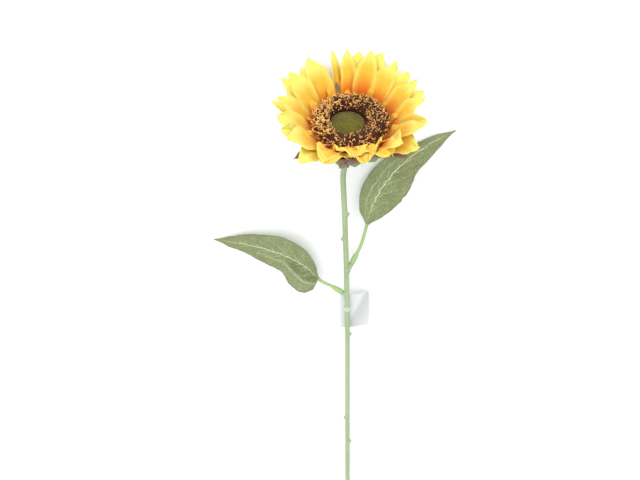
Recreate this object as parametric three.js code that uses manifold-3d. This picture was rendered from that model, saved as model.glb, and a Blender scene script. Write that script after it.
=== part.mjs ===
// Artificial cut sunflower: one fabric bloom and two fabric leaves on a plastic-coated wire stem.
// It lies on a flat surface, on the cut end of its stem and on the lowest petals of its bloom.
// Every piece is modelled on the upright flower, in millimetres: the cut end is at the origin, the
// stem grows along +Z, the bloom looks towards -Y, and +X is on the right of somebody facing it.
// The last lines lay the flower down along +Y, with its face up and its back on the surface.

import * as THREE from "three";
import Module from "manifold-3d";
import { mergeVertices } from "three/addons/utils/BufferGeometryUtils.js";

const wasm = await Module();
wasm.setup();

const { cos, sin, PI, sqrt, min, max, abs, floor } = Math;
const radians = THREE.MathUtils.degToRad;
const { smoothstep } = THREE.MathUtils;
const vector = (x, y, z) => new THREE.Vector3(x, y, z);

// Lying down: the stem climbs a little from its cut end to the bloom, because the bloom is tall.
const LYING_SLOPE = radians(2.7);
const PLACE_X = 14.970;
const PLACE_Y = -326.120;

// Clear gap that neighbouring pieces keep.
const GAP = 0.3;

// Stem: a round plastic coat on a steel wire, straight at first and then bending into the bloom.
const STEM_RADIUS = 3.0;
const STEM_SIDES = 12;
const STEM_BEND_FROM = 520;
const STEM_BOW_LOW = -0.8;
const STEM_BOW_HIGH = 6.2;
const WIRE_RADIUS = 0.9;
const WIRE_SIDES = 8;
const BORE_RADIUS = WIRE_RADIUS + GAP;
const KNOB_RADIUS = 1.9;
// Knobs left by buds: height on the stem, and the side that each one grows on.
const KNOBS = [
  { height: 139, side: 1 },
  { height: 183, side: -1 },
  { height: 321, side: 1 },
  { height: 452, side: -1 },
  { height: 482, side: 1 },
];

// Bloom: its origin is where the calyx cup ends and the fabric whorls begin, and its own +Z looks out.
const BLOOM_ORIGIN = vector(8, -9.4, 578);
const BLOOM_TILT = radians(28);
const CUP_SOCKET_MOUTH = -16;
const CUP_SOCKET_END = -6;
const CUP_SOCKET_RADIUS = 5.2;
const CUP_DISH_RADIUS = 19;
const BUTTON_SHAFT_RADIUS = 3.4;
const BUTTON_SHAFT_DEPTH = 4.5;
const BUTTON_RADIUS = 22;
const BUTTON_THICKNESS = 2;
const WASHER_RADIUS = 28;
const WASHER_THICKNESS = 1.2;
const FABRIC = 0.7;
const WHORL_STEP = WASHER_THICKNESS + GAP;
// A blade runs flat from its root to the shoulder, turns up there and goes on straight.
const BLADE_ROOT = 24;
const SHOULDER = 34;
const SHOULDER_BEND = 12;
const REAR_RISE = radians(5);
const SIDE_RISE = radians(4);
// Blades at the front of the bloom stand up steeper, go straight on for FRONT_STRAIGHT and then curl
// outwards, in a soft step over the bloom's azimuth. The share of it follows a point's own azimuth,
// taken at FRONT_RADIUS from the axis.
const FRONT_FROM = 0.66;
const FRONT_TO = 0.98;
const FRONT_RADIUS = 62;
const FRONT_STRAIGHT = 8;
const FLOOR_BLEND = 3;

// Seed head: a ring of florets round a sunken green pad.
const RING_FOOT = 4 * WHORL_STEP + GAP + BUTTON_THICKNESS + GAP;
const RING_SEGMENTS = 60;
const FLORET_HEIGHT = 1.5;
const PAD_RADIUS = 17;
const PAD_OFFSET = -3.5;
const PAD_CROWN = 3.2;
const PAD_SEGMENTS = 36;

// Whorls of the bloom, from the calyx outwards. level is the place in the stack. A blade is length
// long past the shoulder, where it turns up by rise, and its tip is tip of its width and curls back
// by about droop. At the front it turns up by frontRise more, curls outwards by frontCurl, is
// frontLength of its length, and has its shoulder frontSpread further out.
const WHORLS = {
  sepals: {
    level: 0, count: 15, turn: 0.25, seed: 11, length: 42, width: 6.8, widest: 0.45, rise: radians(35),
    frontRise: radians(34), frontCurl: 0, frontLength: 0.68, frontSpread: 9, tip: 0, droop: 2.0,
    cup: 0.1, pleat: 0.4, sway: 3.0, stations: [0, 0.18, 0.3, 0.45, 0.65, 0.85, 1],
    columns: 2, colour: 0x7d8a55, rough: 0.85,
  },
  petals_back: {
    level: 1, count: 15, turn: 0.5, seed: 5, length: 56, width: 10.0, widest: 0.6, rise: radians(42.5),
    frontRise: radians(28), frontCurl: radians(70), frontLength: 0.87, frontSpread: 0, tip: 0.25,
    droop: 2.0, cup: 0.12, pleat: 0.8, sway: 3.0,
    stations: [0, 0.16, 0.22, 0.285, 0.35, 0.45, 0.58, 0.71, 0.84, 0.93, 1],
    columns: 4, colour: 0xffd84a, rough: 0.75,
  },
  petals_front: {
    level: 2, count: 15, turn: 0.0, seed: 8, length: 56, width: 10.0, widest: 0.6, rise: radians(50),
    frontRise: radians(31), frontCurl: radians(60), frontLength: 0.87, frontSpread: 0, tip: 0.25,
    droop: 3.0, cup: 0.12, pleat: 0.8, sway: 3.0,
    stations: [0, 0.16, 0.22, 0.285, 0.35, 0.45, 0.58, 0.71, 0.84, 0.93, 1],
    columns: 4, colour: 0xffe058, rough: 0.75,
  },
  petals_inner: {
    level: 3, count: 13, turn: 0.25, seed: 3, length: 19.5, width: 3.6, widest: 0.7, rise: radians(64),
    frontRise: radians(18), frontCurl: 0, frontLength: 1, frontSpread: 0, tip: 0.4, droop: 1.0, cup: 0.1,
    pleat: 0.2, sway: 1.0, stations: [0, 0.32, 0.45, 0.6, 0.85, 1], columns: 2, colour: 0xffb437, rough: 0.75,
  },
};
const ROOT_WIDTH = 0.44;
const BLADE_TIP_WIDTH = 0.4;

// Leaves: a fabric blade on a plastic stalk, whose sleeve is pushed on a peg of the stem. A midrib is
// a cubic curve with four points. left and right are the widths of the blade's two sides at even steps
// from base to tip, for somebody who faces it with its tip up. fold lifts a side out of the blade's
// plane, and sweep draws its lobe back past the base.
const LEAF_FABRIC = 0.8;
const PEG_RADIUS = 1.6;
const BOSS_RADIUS = 3.0;
const SLEEVE_BORE = PEG_RADIUS + GAP;
const SLEEVE_RADIUS = 3.2;
const SLEEVE_LENGTH = 15;
const SLEEVE_BORE_DEPTH = 10;
const STALK_RADIUS = 1.9;
const RIB_END_RADIUS = 0.7;
const RIB_END = 0.7;
const STALK_SIDES = 8;
const LEAVES = {
  left: {
    joint: 377.5, direction: vector(-0.84, 0.18, 0.5), sleeveStart: 6.4,
    baseHeading: vector(-0.5, 0.15, 0.85),
    midrib: [vector(-31, 5, 398.5), vector(-50, 10, 428), vector(-100, 17, 440), vector(-149, 22.5, 446)],
    face: vector(-0.05, -0.96, 0.28), waves: 2.2, waveHeight: 2.2,
    left: { widths: [11, 26, 25, 19.5, 18, 15, 11, 7, 0.4], fold: radians(8), sweep: 0.6, phase: 0.15 },
    right: { widths: [2, 9, 18, 21.5, 20, 17.5, 13, 7, 0.4], fold: radians(30), sweep: 0, phase: 0.45 },
  },
  right: {
    joint: 408, direction: vector(0.48, 0.17, 0.86), sleeveStart: 12.6,
    baseHeading: vector(0.25, 0.13, 0.96),
    midrib: [vector(26.5, 9, 465), vector(34, 15, 505), vector(66, 22, 541), vector(119, 28.5, 562)],
    face: vector(-0.14, -0.93, 0.34), waves: 1.8, waveHeight: 1.8,
    left: { widths: [3, 11, 17, 20, 19, 14, 8, 4, 0.4], fold: radians(14), sweep: 0.3, phase: 0.6 },
    right: { widths: [4, 15, 23.5, 28, 24.5, 18, 12.5, 7, 0.4], fold: radians(16), sweep: 0.2, phase: 0.9 },
  },
};

// Blank tag: a card panel behind the stem, stuck to a band of clear film round the stem.
const TAG_WIDTH = 34.5;
const TAG_HEIGHT = 47;
const TAG_THICKNESS = 0.6;
const TAG_LEFT = -5.5;
const TAG_BOTTOM = 328;
const TAG_BOW = 1.5;
const BAND_HEIGHT = 6;
const BAND_BOTTOM = 356;
const BAND_THICKNESS = 0.7;

// A fixed draw between -1 and 1 for each seed and index.
function draw(seed, index) {
  const raw = sin(seed * 12.9898 + index * 78.233) * 43758.5453;
  return 2 * (raw - floor(raw)) - 1;
}

// The laid flower's up, and how high a point of the upright flower then is above the surface.
const STEM_FOOT_HEIGHT = STEM_RADIUS * cos(PI / STEM_SIDES) * cos(LYING_SLOPE);
const UP = vector(0, -cos(LYING_SLOPE), sin(LYING_SLOPE));
const heightOf = (point) => STEM_FOOT_HEIGHT + point.dot(UP);

// A point below the given height is pushed up to it, softly at first. Far enough below, it is flat.
function restOn(point, up, height, level) {
  const above = height - level;
  if (above >= FLOOR_BLEND) return point;
  const eased = above <= -FLOOR_BLEND ? 0 : (above + FLOOR_BLEND) ** 2 / (4 * FLOOR_BLEND);
  return point.addScaledVector(up, eased - above);
}

// Solids.

function facesOut(positions, triangles) {
  let volume = 0;
  for (const [a, b, c] of triangles) {
    volume += positions[a].dot(positions[b].clone().cross(positions[c]));
  }
  const turned = volume < 0 ? triangles.map(([a, b, c]) => [a, c, b]) : triangles;
  const geometry = new THREE.BufferGeometry().setFromPoints(positions);
  return geometry.setIndex(turned.flat());
}

// A closed skin over rings of points: capped at both ends, or joined last to first.
function loft(rings, joined = false) {
  const around = rings[0].length;
  const positions = rings.flat();
  const triangles = [];
  const last = joined ? rings.length : rings.length - 1;
  for (let i = 0; i < last; i++) {
    for (let j = 0; j < around; j++) {
      const a = i * around + j;
      const b = i * around + ((j + 1) % around);
      const c = ((i + 1) % rings.length) * around + j;
      const d = ((i + 1) % rings.length) * around + ((j + 1) % around);
      triangles.push([a, b, d], [a, d, c]);
    }
  }
  if (!joined) {
    for (const [ring, flip] of [[0, true], [rings.length - 1, false]]) {
      const centre = positions.length;
      const sum = rings[ring].reduce((total, point) => total.add(point), vector(0, 0, 0));
      positions.push(sum.divideScalar(around));
      for (let j = 0; j < around; j++) {
        const a = ring * around + j;
        const b = ring * around + ((j + 1) % around);
        triangles.push(flip ? [centre, b, a] : [centre, a, b]);
      }
    }
  }
  return facesOut(positions, triangles);
}

// A ring of points round a centre, across a heading. The first side of it faces +Y.
function ringAcross(centre, heading, radius, sides) {
  const along = heading.clone().normalize();
  const back = vector(0, 1, 0).addScaledVector(along, -along.y).normalize();
  const side = back.clone().cross(along);
  return Array.from({ length: sides }, (_, j) => {
    const angle = (2 * PI * (j + 0.5)) / sides;
    const point = centre.clone().addScaledVector(back, radius * cos(angle));
    return point.addScaledVector(side, radius * sin(angle));
  });
}

// A thin blade: a grid of points given thickness, with triangles alike on both of its faces.
function slab(grid, thickness, settle = (point) => point) {
  const rows = grid.length;
  const columns = grid[0].length;
  const faces = [[], []];
  for (let i = 0; i < rows; i++) {
    for (let j = 0; j < columns; j++) {
      const along = grid[min(i + 1, rows - 1)][j].clone().sub(grid[max(i - 1, 0)][j]);
      const across = grid[i][min(j + 1, columns - 1)].clone().sub(grid[i][max(j - 1, 0)]);
      const normal = across.cross(along).normalize();
      [0.5, -0.5].forEach((side, k) => {
        const point = grid[i][j].clone().addScaledVector(normal, side * thickness);
        faces[k].push(settle(point, k));
      });
    }
  }
  const positions = faces.flat();
  const under = rows * columns;
  const triangles = [];
  const at = (i, j) => i * columns + j;
  for (let i = 0; i + 1 < rows; i++) {
    for (let j = 0; j + 1 < columns; j++) {
      for (const [a, b, c] of [[at(i, j), at(i, j + 1), at(i + 1, j + 1)], [at(i, j), at(i + 1, j + 1), at(i + 1, j)]]) {
        triangles.push([a, b, c], [c + under, b + under, a + under]);
      }
    }
  }
  const rim = [];
  for (let j = 0; j < columns; j++) rim.push(at(0, j));
  for (let i = 1; i < rows; i++) rim.push(at(i, columns - 1));
  for (let j = columns - 2; j >= 0; j--) rim.push(at(rows - 1, j));
  for (let i = rows - 2; i > 0; i--) rim.push(at(i, 0));
  rim.forEach((a, k) => {
    const b = rim[(k + 1) % rim.length];
    triangles.push([b, a, a + under], [b, a + under, b + under]);
  });
  return facesOut(positions, triangles);
}

function solidOf(geometry) {
  const bare = geometry.clone();
  bare.deleteAttribute("normal");
  bare.deleteAttribute("uv");
  const merged = mergeVertices(bare, 1e-4);
  return new wasm.Manifold(new wasm.Mesh({
    numProp: 3,
    vertProperties: merged.attributes.position.array,
    triVerts: new Uint32Array(merged.index.array),
  }));
}

function geometryOf(solid) {
  const made = solid.getMesh();
  const geometry = new THREE.BufferGeometry();
  geometry.setAttribute("position", new THREE.BufferAttribute(made.vertProperties, 3));
  return geometry.setIndex(new THREE.BufferAttribute(made.triVerts, 1));
}

const joined = (geometries) => geometries.map(solidOf).reduce((whole, piece) => whole.add(piece));

// A body of revolution about +Z from [radius, height] pairs.
function revolved(profile, segments) {
  const points = profile.map(([radius, height]) => new THREE.Vector2(radius, height));
  return new THREE.LatheGeometry(points, segments).rotateX(PI / 2);
}

function piece(name, geometry, colour, roughness, metalness = 0) {
  const material = new THREE.MeshStandardMaterial({ color: colour, roughness, metalness });
  const mesh = new THREE.Mesh(geometry, material);
  mesh.name = name;
  return mesh;
}

// Stem.

const bloomAxis = vector(0, -sin(BLOOM_TILT), cos(BLOOM_TILT));
const onBloomAxis = (height) => BLOOM_ORIGIN.clone().addScaledVector(bloomAxis, height);

const lowerStem = new THREE.CubicBezierCurve3(
  vector(0, 0, 0),
  vector(STEM_BOW_LOW, 0, STEM_BEND_FROM / 3),
  vector(STEM_BOW_HIGH, 0, (STEM_BEND_FROM * 2) / 3),
  vector(0, 0, STEM_BEND_FROM),
);
const neckStart = onBloomAxis(CUP_SOCKET_MOUTH - 1);
const upperStem = new THREE.CubicBezierCurve3(
  vector(0, 0, STEM_BEND_FROM),
  vector(-0.6, 0, STEM_BEND_FROM + 18),
  neckStart.clone().addScaledVector(bloomAxis, -11),
  neckStart,
);
const stemTop = onBloomAxis(CUP_SOCKET_END - GAP);

function stemRings(radius, sides) {
  const rings = [];
  const lowerSteps = 12;
  const upperSteps = 6;
  for (let i = 0; i < lowerSteps; i++) {
    const t = i / lowerSteps;
    const heading = i ? lowerStem.getTangent(t) : vector(0, 0, 1);
    rings.push(ringAcross(lowerStem.getPoint(t), heading, radius, sides));
  }
  for (let i = 0; i <= upperSteps; i++) {
    const t = i / upperSteps;
    rings.push(ringAcross(upperStem.getPoint(t), upperStem.getTangent(t), radius, sides));
  }
  rings.push(ringAcross(stemTop, bloomAxis, radius, sides));
  return rings;
}

const stemAt = (height) => lowerStem.getPoint(height / STEM_BEND_FROM);

// A knob is a bead sunk to its middle in the side of the stem.
function knob({ height, side }) {
  const bead = new THREE.SphereGeometry(KNOB_RADIUS, 8, 6).scale(1, 1, 1.3);
  const centre = stemAt(height).add(vector(side * (STEM_RADIUS - 0.4), 0, 0));
  return bead.translate(centre.x, centre.y, centre.z);
}

// The branch on the stem that a leaf's sleeve goes on: a stout boss, then a thinner peg.
function leafPeg({ joint, direction, sleeveStart }) {
  const along = direction.clone().normalize();
  const start = stemAt(joint);
  const at = (distance) => start.clone().addScaledVector(along, distance);
  const bossEnd = sleeveStart - GAP;
  const pegEnd = sleeveStart + SLEEVE_BORE_DEPTH - GAP;
  return loft([
    ringAcross(at(0.5), along, PEG_RADIUS, STALK_SIDES),
    ringAcross(at(1.0), along, BOSS_RADIUS * 0.98, STALK_SIDES),
    ringAcross(at(bossEnd), along, BOSS_RADIUS, STALK_SIDES),
    ringAcross(at(bossEnd + 0.01), along, PEG_RADIUS, STALK_SIDES),
    ringAcross(at(pegEnd), along, PEG_RADIUS, STALK_SIDES),
  ]);
}

function makeStem() {
  const coat = joined([
    loft(stemRings(STEM_RADIUS, STEM_SIDES)),
    ...KNOBS.map(knob),
    ...Object.values(LEAVES).map(leafPeg),
  ]);
  const rings = stemRings(BORE_RADIUS, WIRE_SIDES);
  rings[0].forEach((point) => point.z -= 1);
  rings[rings.length - 1].forEach((point) => point.addScaledVector(bloomAxis, 1));
  return geometryOf(coat.subtract(solidOf(loft(rings))));
}

// Leaves.

// A value between evenly spaced ones, on a smooth curve through them.
function between(values, share) {
  const place = share * (values.length - 1);
  const i = min(floor(place), values.length - 2);
  const t = place - i;
  const [a, b, c, d] = [values[max(i - 1, 0)], values[i], values[i + 1], values[min(i + 2, values.length - 1)]];
  return b + 0.5 * t * (c - a + t * (2 * a - 5 * b + 4 * c - d + t * (3 * (b - c) + d - a)));
}

// The midrib's point and heading, with the ways to the blade's side and out of its face.
function leafFrame(leaf, along) {
  const midrib = new THREE.CubicBezierCurve3(...leaf.midrib);
  const heading = midrib.getTangent(along);
  const out = leaf.face.clone().addScaledVector(heading, -leaf.face.dot(heading)).normalize();
  return { point: midrib.getPoint(along), heading, out, side: out.clone().cross(heading) };
}

// A point of the blade: across runs from -1 to 1 and along from 0 to 1.
function leafPoint(leaf, across, along) {
  const { point, heading, out, side } = leafFrame(leaf, along);
  const half = across < 0 ? leaf.right : leaf.left;
  const reach = abs(across) * max(between(half.widths, along), BLADE_TIP_WIDTH);
  const wave = leaf.waveHeight * across * across * (1 - along)
    * sin(2 * PI * (leaf.waves * along + half.phase));
  point.addScaledVector(side, Math.sign(across) * reach * cos(half.fold));
  point.addScaledVector(heading, -reach * half.sweep * Math.exp(-((along / 0.16) ** 2)));
  point.addScaledVector(out, reach * sin(half.fold) + wave);
  return restOn(point, UP, heightOf(point), LEAF_FABRIC);
}

function makeLeaf(leaf) {
  const rows = 14;
  const columns = 6;
  const grid = Array.from({ length: rows + 1 }, (_, i) => (
    Array.from({ length: columns + 1 }, (__, j) => (
      leafPoint(leaf, (2 * j) / columns - 1, i / rows)
    ))
  ));
  return slab(grid, LEAF_FABRIC);
}

// The stalk: a sleeve over the stem's peg, a thinner bent stalk, and a rib glued under the blade.
function makeStalk(leaf) {
  const direction = leaf.direction.clone().normalize();
  const joint = stemAt(leaf.joint);
  const at = (distance) => joint.clone().addScaledVector(direction, distance);
  const mouth = at(leaf.sleeveStart);
  const sleeveEnd = at(leaf.sleeveStart + SLEEVE_LENGTH);
  const under = (along, radius) => {
    const { point, out } = leafFrame(leaf, along);
    return point.addScaledVector(out, -(LEAF_FABRIC / 2 + GAP + radius * 1.1));
  };
  const rings = [
    ringAcross(mouth, direction, SLEEVE_RADIUS - 0.5, STALK_SIDES),
    ringAcross(at(leaf.sleeveStart + 1.5), direction, SLEEVE_RADIUS, STALK_SIDES),
    ringAcross(at(leaf.sleeveStart + SLEEVE_LENGTH * 0.7), direction, SLEEVE_RADIUS, STALK_SIDES),
    ringAcross(sleeveEnd, direction, STALK_RADIUS, STALK_SIDES),
  ];
  const base = under(0, STALK_RADIUS);
  const heading = leaf.baseHeading.clone().normalize();
  const span = sleeveEnd.distanceTo(base) / 3;
  const stalk = new THREE.CubicBezierCurve3(
    sleeveEnd,
    sleeveEnd.clone().addScaledVector(direction, span),
    base.clone().addScaledVector(heading, -span),
    base,
  );
  const stalkSteps = 3;
  for (let i = 1; i <= stalkSteps; i++) {
    const t = i / stalkSteps;
    rings.push(ringAcross(stalk.getPoint(t), stalk.getTangent(t), STALK_RADIUS, STALK_SIDES));
  }
  const ribSteps = 6;
  for (let i = 1; i <= ribSteps; i++) {
    const along = (RIB_END * i) / ribSteps;
    const radius = STALK_RADIUS + (RIB_END_RADIUS - STALK_RADIUS) * sqrt(i / ribSteps);
    const ahead = under(along + 0.01, radius).sub(under(along - 0.01, radius));
    rings.push(ringAcross(under(along, radius), ahead, radius, STALK_SIDES));
  }
  const bore = loft([
    ringAcross(at(leaf.sleeveStart - 1), direction, SLEEVE_BORE, STALK_SIDES),
    ringAcross(at(leaf.sleeveStart + SLEEVE_BORE_DEPTH), direction, SLEEVE_BORE, STALK_SIDES),
  ]);
  return geometryOf(solidOf(loft(rings)).subtract(solidOf(bore)));
}

// Bloom, in its own frame.

const BLOOM_LEAN = BLOOM_TILT + LYING_SLOPE;
const BLOOM_UP = vector(0, -cos(BLOOM_LEAN), sin(BLOOM_LEAN));
const BLOOM_HEIGHT = heightOf(BLOOM_ORIGIN);
const heightInBloom = (point) => BLOOM_HEIGHT + point.dot(BLOOM_UP);

// How wide a petal or sepal is at a share of its length, from 0 to 1.
function petalHalfWidth(whorl, along) {
  if (along < whorl.widest) {
    return whorl.width * (ROOT_WIDTH + (1 - ROOT_WIDTH) * sin((PI / 2) * (along / whorl.widest)));
  }
  const past = (along - whorl.widest) / (1 - whorl.widest);
  return max(whorl.width * (whorl.tip + (1 - whorl.tip) * (1 - past ** 2.4) ** 0.85), BLADE_TIP_WIDTH);
}

// The height at which a whorl's tips rest: the whorls that lie further in rest on the outer ones.
const restLevel = (whorl) => max(whorl.level - 1, 0) * (FABRIC + 2 * GAP);

// A blade's middle line at a distance from its root, as its radius, height and slope: it runs flat,
// bends up to rise at the shoulder, and curls back by curl over its outer part.
function bladePath(distance, flat, length, bend, rise, curl) {
  const turned = min(max((distance - flat) / bend, 0), rise);
  const straight = max(distance - flat - bend * rise, 0);
  const before = curl > 0 ? min(straight, FRONT_STRAIGHT) : straight;
  const radius = BLADE_ROOT + min(distance, flat) + bend * sin(turned) + before * cos(rise);
  const height = bend * (1 - cos(turned)) + before * sin(rise);
  if (straight <= before) return { radius, height, slope: turned };
  const rate = curl / (length - bend * rise - before);
  const slope = rise - rate * (straight - before);
  return {
    radius: radius + (sin(rise) - sin(slope)) / rate,
    height: height + (cos(slope) - cos(rise)) / rate,
    slope,
  };
}

// A point of one petal: across runs from -1 to 1 and along from 0 to 1.
function petalPoint(whorl, index, across, along) {
  const { seed } = whorl;
  const azimuth = (2 * PI * (index + whorl.turn + 0.12 * draw(seed, index))) / whorl.count;
  const halfWidth = petalHalfWidth(whorl, along);
  const front = smoothstep(-sin(azimuth + (across * halfWidth) / FRONT_RADIUS), FRONT_FROM, FRONT_TO);
  const rise = whorl.rise + REAR_RISE * sin(azimuth) + SIDE_RISE * cos(azimuth) ** 2
    + whorl.frontRise * front + 0.03 * draw(seed + 1, index);
  const length = whorl.length * (1 + 0.05 * draw(seed + 2, index)) * (1 + (whorl.frontLength - 1) * front);
  const flat = SHOULDER - BLADE_ROOT + whorl.frontSpread * front;
  const distance = along * (flat + length);
  const foot = (whorl.level + 0.5) * WHORL_STEP + GAP / 2;
  const bend = SHOULDER_BEND - foot;
  const { radius, height, slope } = bladePath(distance, flat, length, bend, rise, whorl.frontCurl * front);
  const side = across * halfWidth + whorl.sway * draw(seed + 3, index) * along * along;
  const relief = whorl.cup * halfWidth * across * across * along
    + whorl.pleat * cos(2 * PI * across) * along * along
    + 0.12 * draw(seed + 5, index) * across * halfWidth * along * along
    - whorl.droop * (1 + draw(seed + 4, index)) * (1 - front) * along ** 4;
  const out = radius - relief * sin(slope);
  const point = vector(
    out * cos(azimuth) - side * sin(azimuth),
    out * sin(azimuth) + side * cos(azimuth),
    foot + height + relief * cos(slope),
  );
  return restOn(point, BLOOM_UP, heightInBloom(point), restLevel(whorl));
}

// The outer face of a flattened tip is exactly flat, so that the bloom has a true face to rest on.
function pressFlat(whorl) {
  return (point, face) => {
    const low = restLevel(whorl) + (face === 1 ? FABRIC : 0);
    const height = heightInBloom(point);
    return height < low ? point.addScaledVector(BLOOM_UP, low - height) : point;
  };
}

function makeWhorl(whorl) {
  const { columns } = whorl;
  const blades = Array.from({ length: whorl.count }, (_, index) => {
    const grid = whorl.stations.map((along) => (
      Array.from({ length: columns + 1 }, (__, j) => (
        petalPoint(whorl, index, (2 * j) / columns - 1, along)
      ))
    ));
    return slab(grid, FABRIC, pressFlat(whorl));
  });
  const foot = whorl.level * WHORL_STEP + GAP;
  const top = foot + WASHER_THICKNESS;
  const hole = BUTTON_SHAFT_RADIUS + GAP;
  const washer = revolved(
    [[hole, foot], [WASHER_RADIUS, foot], [WASHER_RADIUS, top], [hole, top], [hole, foot]],
    24,
  );
  return geometryOf(joined([washer, ...blades]));
}

// Cup: a socket on the stem's end that flares into a dish, with a hole for the button's shaft.
function makeCup() {
  const socket = STEM_RADIUS + GAP;
  const shaftHole = BUTTON_SHAFT_RADIUS + GAP;
  const web = CUP_SOCKET_END + 1;
  return revolved([
    [socket, CUP_SOCKET_MOUTH], [CUP_SOCKET_RADIUS, CUP_SOCKET_MOUTH], [CUP_SOCKET_RADIUS + 0.6, -9],
    [10, -5.5], [16, -3], [CUP_DISH_RADIUS, -1.2], [CUP_DISH_RADIUS, 0], [shaftHole, 0],
    [shaftHole, web], [0, web], [0, CUP_SOCKET_END], [socket, CUP_SOCKET_END], [socket, CUP_SOCKET_MOUTH],
  ], 24);
}

// Button: the shaft that strings the whorls together, under a disc that carries the seed head.
function makeButton() {
  const discFoot = 4 * WHORL_STEP + GAP;
  return revolved([
    [0, -BUTTON_SHAFT_DEPTH], [BUTTON_SHAFT_RADIUS, -BUTTON_SHAFT_DEPTH], [BUTTON_SHAFT_RADIUS, discFoot],
    [BUTTON_RADIUS, discFoot], [BUTTON_RADIUS, discFoot + BUTTON_THICKNESS], [0, discFoot + BUTTON_THICKNESS],
  ], 30);
}

// Floret ring: a rounded ring whose top and sides are raised in small points, one for each floret.
function makeFloretRing() {
  const foot = RING_FOOT;
  const inner = PAD_RADIUS + GAP + 0.6;
  const outer = 36.2;
  const profile = [
    [inner, foot], [18.2, foot + 3], [18.8, foot + 6], [21, foot + 8.6], [24.2, foot + 10],
    [27.6, foot + 10.2], [31, foot + 9.4], [34, foot + 7.8], [36, foot + 5.4], [outer, foot + 2.8], [34.2, foot],
  ];
  const rings = profile.map(([radius, height], j) => {
    const [beforeRadius, beforeHeight] = profile[max(j - 1, 0)];
    const [afterRadius, afterHeight] = profile[min(j + 1, profile.length - 1)];
    const out = new THREE.Vector2(beforeHeight - afterHeight, afterRadius - beforeRadius).normalize();
    const raised = j > 1 && j < profile.length - 1;
    return Array.from({ length: RING_SEGMENTS }, (_, i) => {
      const angle = (2 * PI * i) / RING_SEGMENTS;
      const peak = raised && (i + j) % 2 ? FLORET_HEIGHT * (1 + 0.3 * draw(j, i)) : 0;
      const distance = radius + out.x * peak;
      const offset = (PAD_OFFSET * (outer - radius)) / (outer - inner);
      return vector(offset + distance * cos(angle), distance * sin(angle), height + out.y * peak);
    });
  });
  return loft(rings, true);
}

// Seed pad: a low dome with a fine raised grain.
function makeSeedPad() {
  const rows = 6;
  const rings = [];
  const ring = (radius, height, grain) => Array.from({ length: PAD_SEGMENTS }, (_, i) => {
    const angle = (2 * PI * i) / PAD_SEGMENTS;
    const peak = grain && (i + rings.length) % 2 ? 0.5 : 0;
    return vector(PAD_OFFSET + radius * cos(angle), radius * sin(angle), height + peak);
  });
  rings.push(ring(PAD_RADIUS, RING_FOOT, false));
  for (let i = rows; i > 0; i--) {
    const share = i / rows;
    rings.push(ring(PAD_RADIUS * share, RING_FOOT + 1 + PAD_CROWN * (1 - share * share), i < rows));
  }
  return loft(rings);
}

// Tag.

function makeBand() {
  const inner = STEM_RADIUS + GAP;
  const outer = inner + BAND_THICKNESS;
  const centre = stemAt(BAND_BOTTOM);
  const band = revolved(
    [[inner, 0], [outer, 0], [outer, BAND_HEIGHT], [inner, BAND_HEIGHT], [inner, 0]],
    STEM_SIDES * 2,
  );
  return band.translate(centre.x, centre.y, BAND_BOTTOM);
}

// The panel is bowed a little from side to side.
function makeTag() {
  const columns = 6;
  const rows = 2;
  const stemSide = (0 - TAG_LEFT) / TAG_WIDTH;
  const back = STEM_RADIUS + BAND_THICKNESS + 2 * GAP + TAG_THICKNESS / 2;
  const grid = Array.from({ length: rows + 1 }, (_, i) => (
    Array.from({ length: columns + 1 }, (__, j) => {
      const share = j / columns;
      const bow = TAG_BOW * (share - stemSide) ** 2 * 4;
      return vector(TAG_LEFT + TAG_WIDTH * share, back + bow, TAG_BOTTOM + (TAG_HEIGHT * i) / rows);
    })
  ));
  return slab(grid, TAG_THICKNESS);
}

// The whole flower.

const bloom = new THREE.Group();
bloom.position.copy(BLOOM_ORIGIN);
bloom.rotation.x = BLOOM_TILT;
bloom.add(piece("calyx_cup", makeCup(), 0x7fa25a, 0.6));
for (const [name, whorl] of Object.entries(WHORLS)) {
  bloom.add(piece(name, makeWhorl(whorl), whorl.colour, whorl.rough));
}
bloom.add(piece("bloom_button", makeButton(), 0x6d4a33, 0.7));
bloom.add(piece("floret_ring", makeFloretRing(), 0x5b3328, 0.8));
bloom.add(piece("seed_pad", makeSeedPad(), 0x6c6a2c, 0.95));

const flower = new THREE.Group();
flower.add(bloom);
flower.add(piece("stem", makeStem(), 0xb4cf9c, 0.55));
flower.add(piece("stem_wire", loft(stemRings(WIRE_RADIUS, WIRE_SIDES)), 0x8f9296, 0.4, 1));
for (const [side, leaf] of Object.entries(LEAVES)) {
  flower.add(piece(`leaf_${side}`, makeLeaf(leaf), 0x8c9b62, 0.8));
  flower.add(piece(`stalk_${side}`, makeStalk(leaf), 0xb2cf85, 0.55));
}
flower.add(piece("tag_band", makeBand(), 0xf4f6f6, 0.2));
flower.add(piece("tag", makeTag(), 0xeef0f0, 0.35));

flower.rotation.x = LYING_SLOPE - PI / 2;
flower.position.set(PLACE_X, PLACE_Y, STEM_FOOT_HEIGHT);

const part = new THREE.Group();
part.add(flower);
export default part;
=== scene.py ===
"""Artificial cut sunflower, lying on a pale floor.

The bloom is stamped and pleated cloth on a moulded cup, round a ring of curled florets and a flocked
pad. Two cloth leaves sit on moulded stalks, whose sleeves are pushed on pegs of the stem. Every piece
is shaped on the upright flower, whose cut end is the origin, whose stem grows along +Z and whose bloom
looks towards -Y, and is then laid down in its place. Lengths are in metres.
"""

import math
import random
from dataclasses import dataclass
from functools import partial

import bmesh
import bpy
from bpy.props import FloatProperty, FloatVectorProperty, IntProperty, PointerProperty
from mathutils import Matrix, Vector, noise


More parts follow.
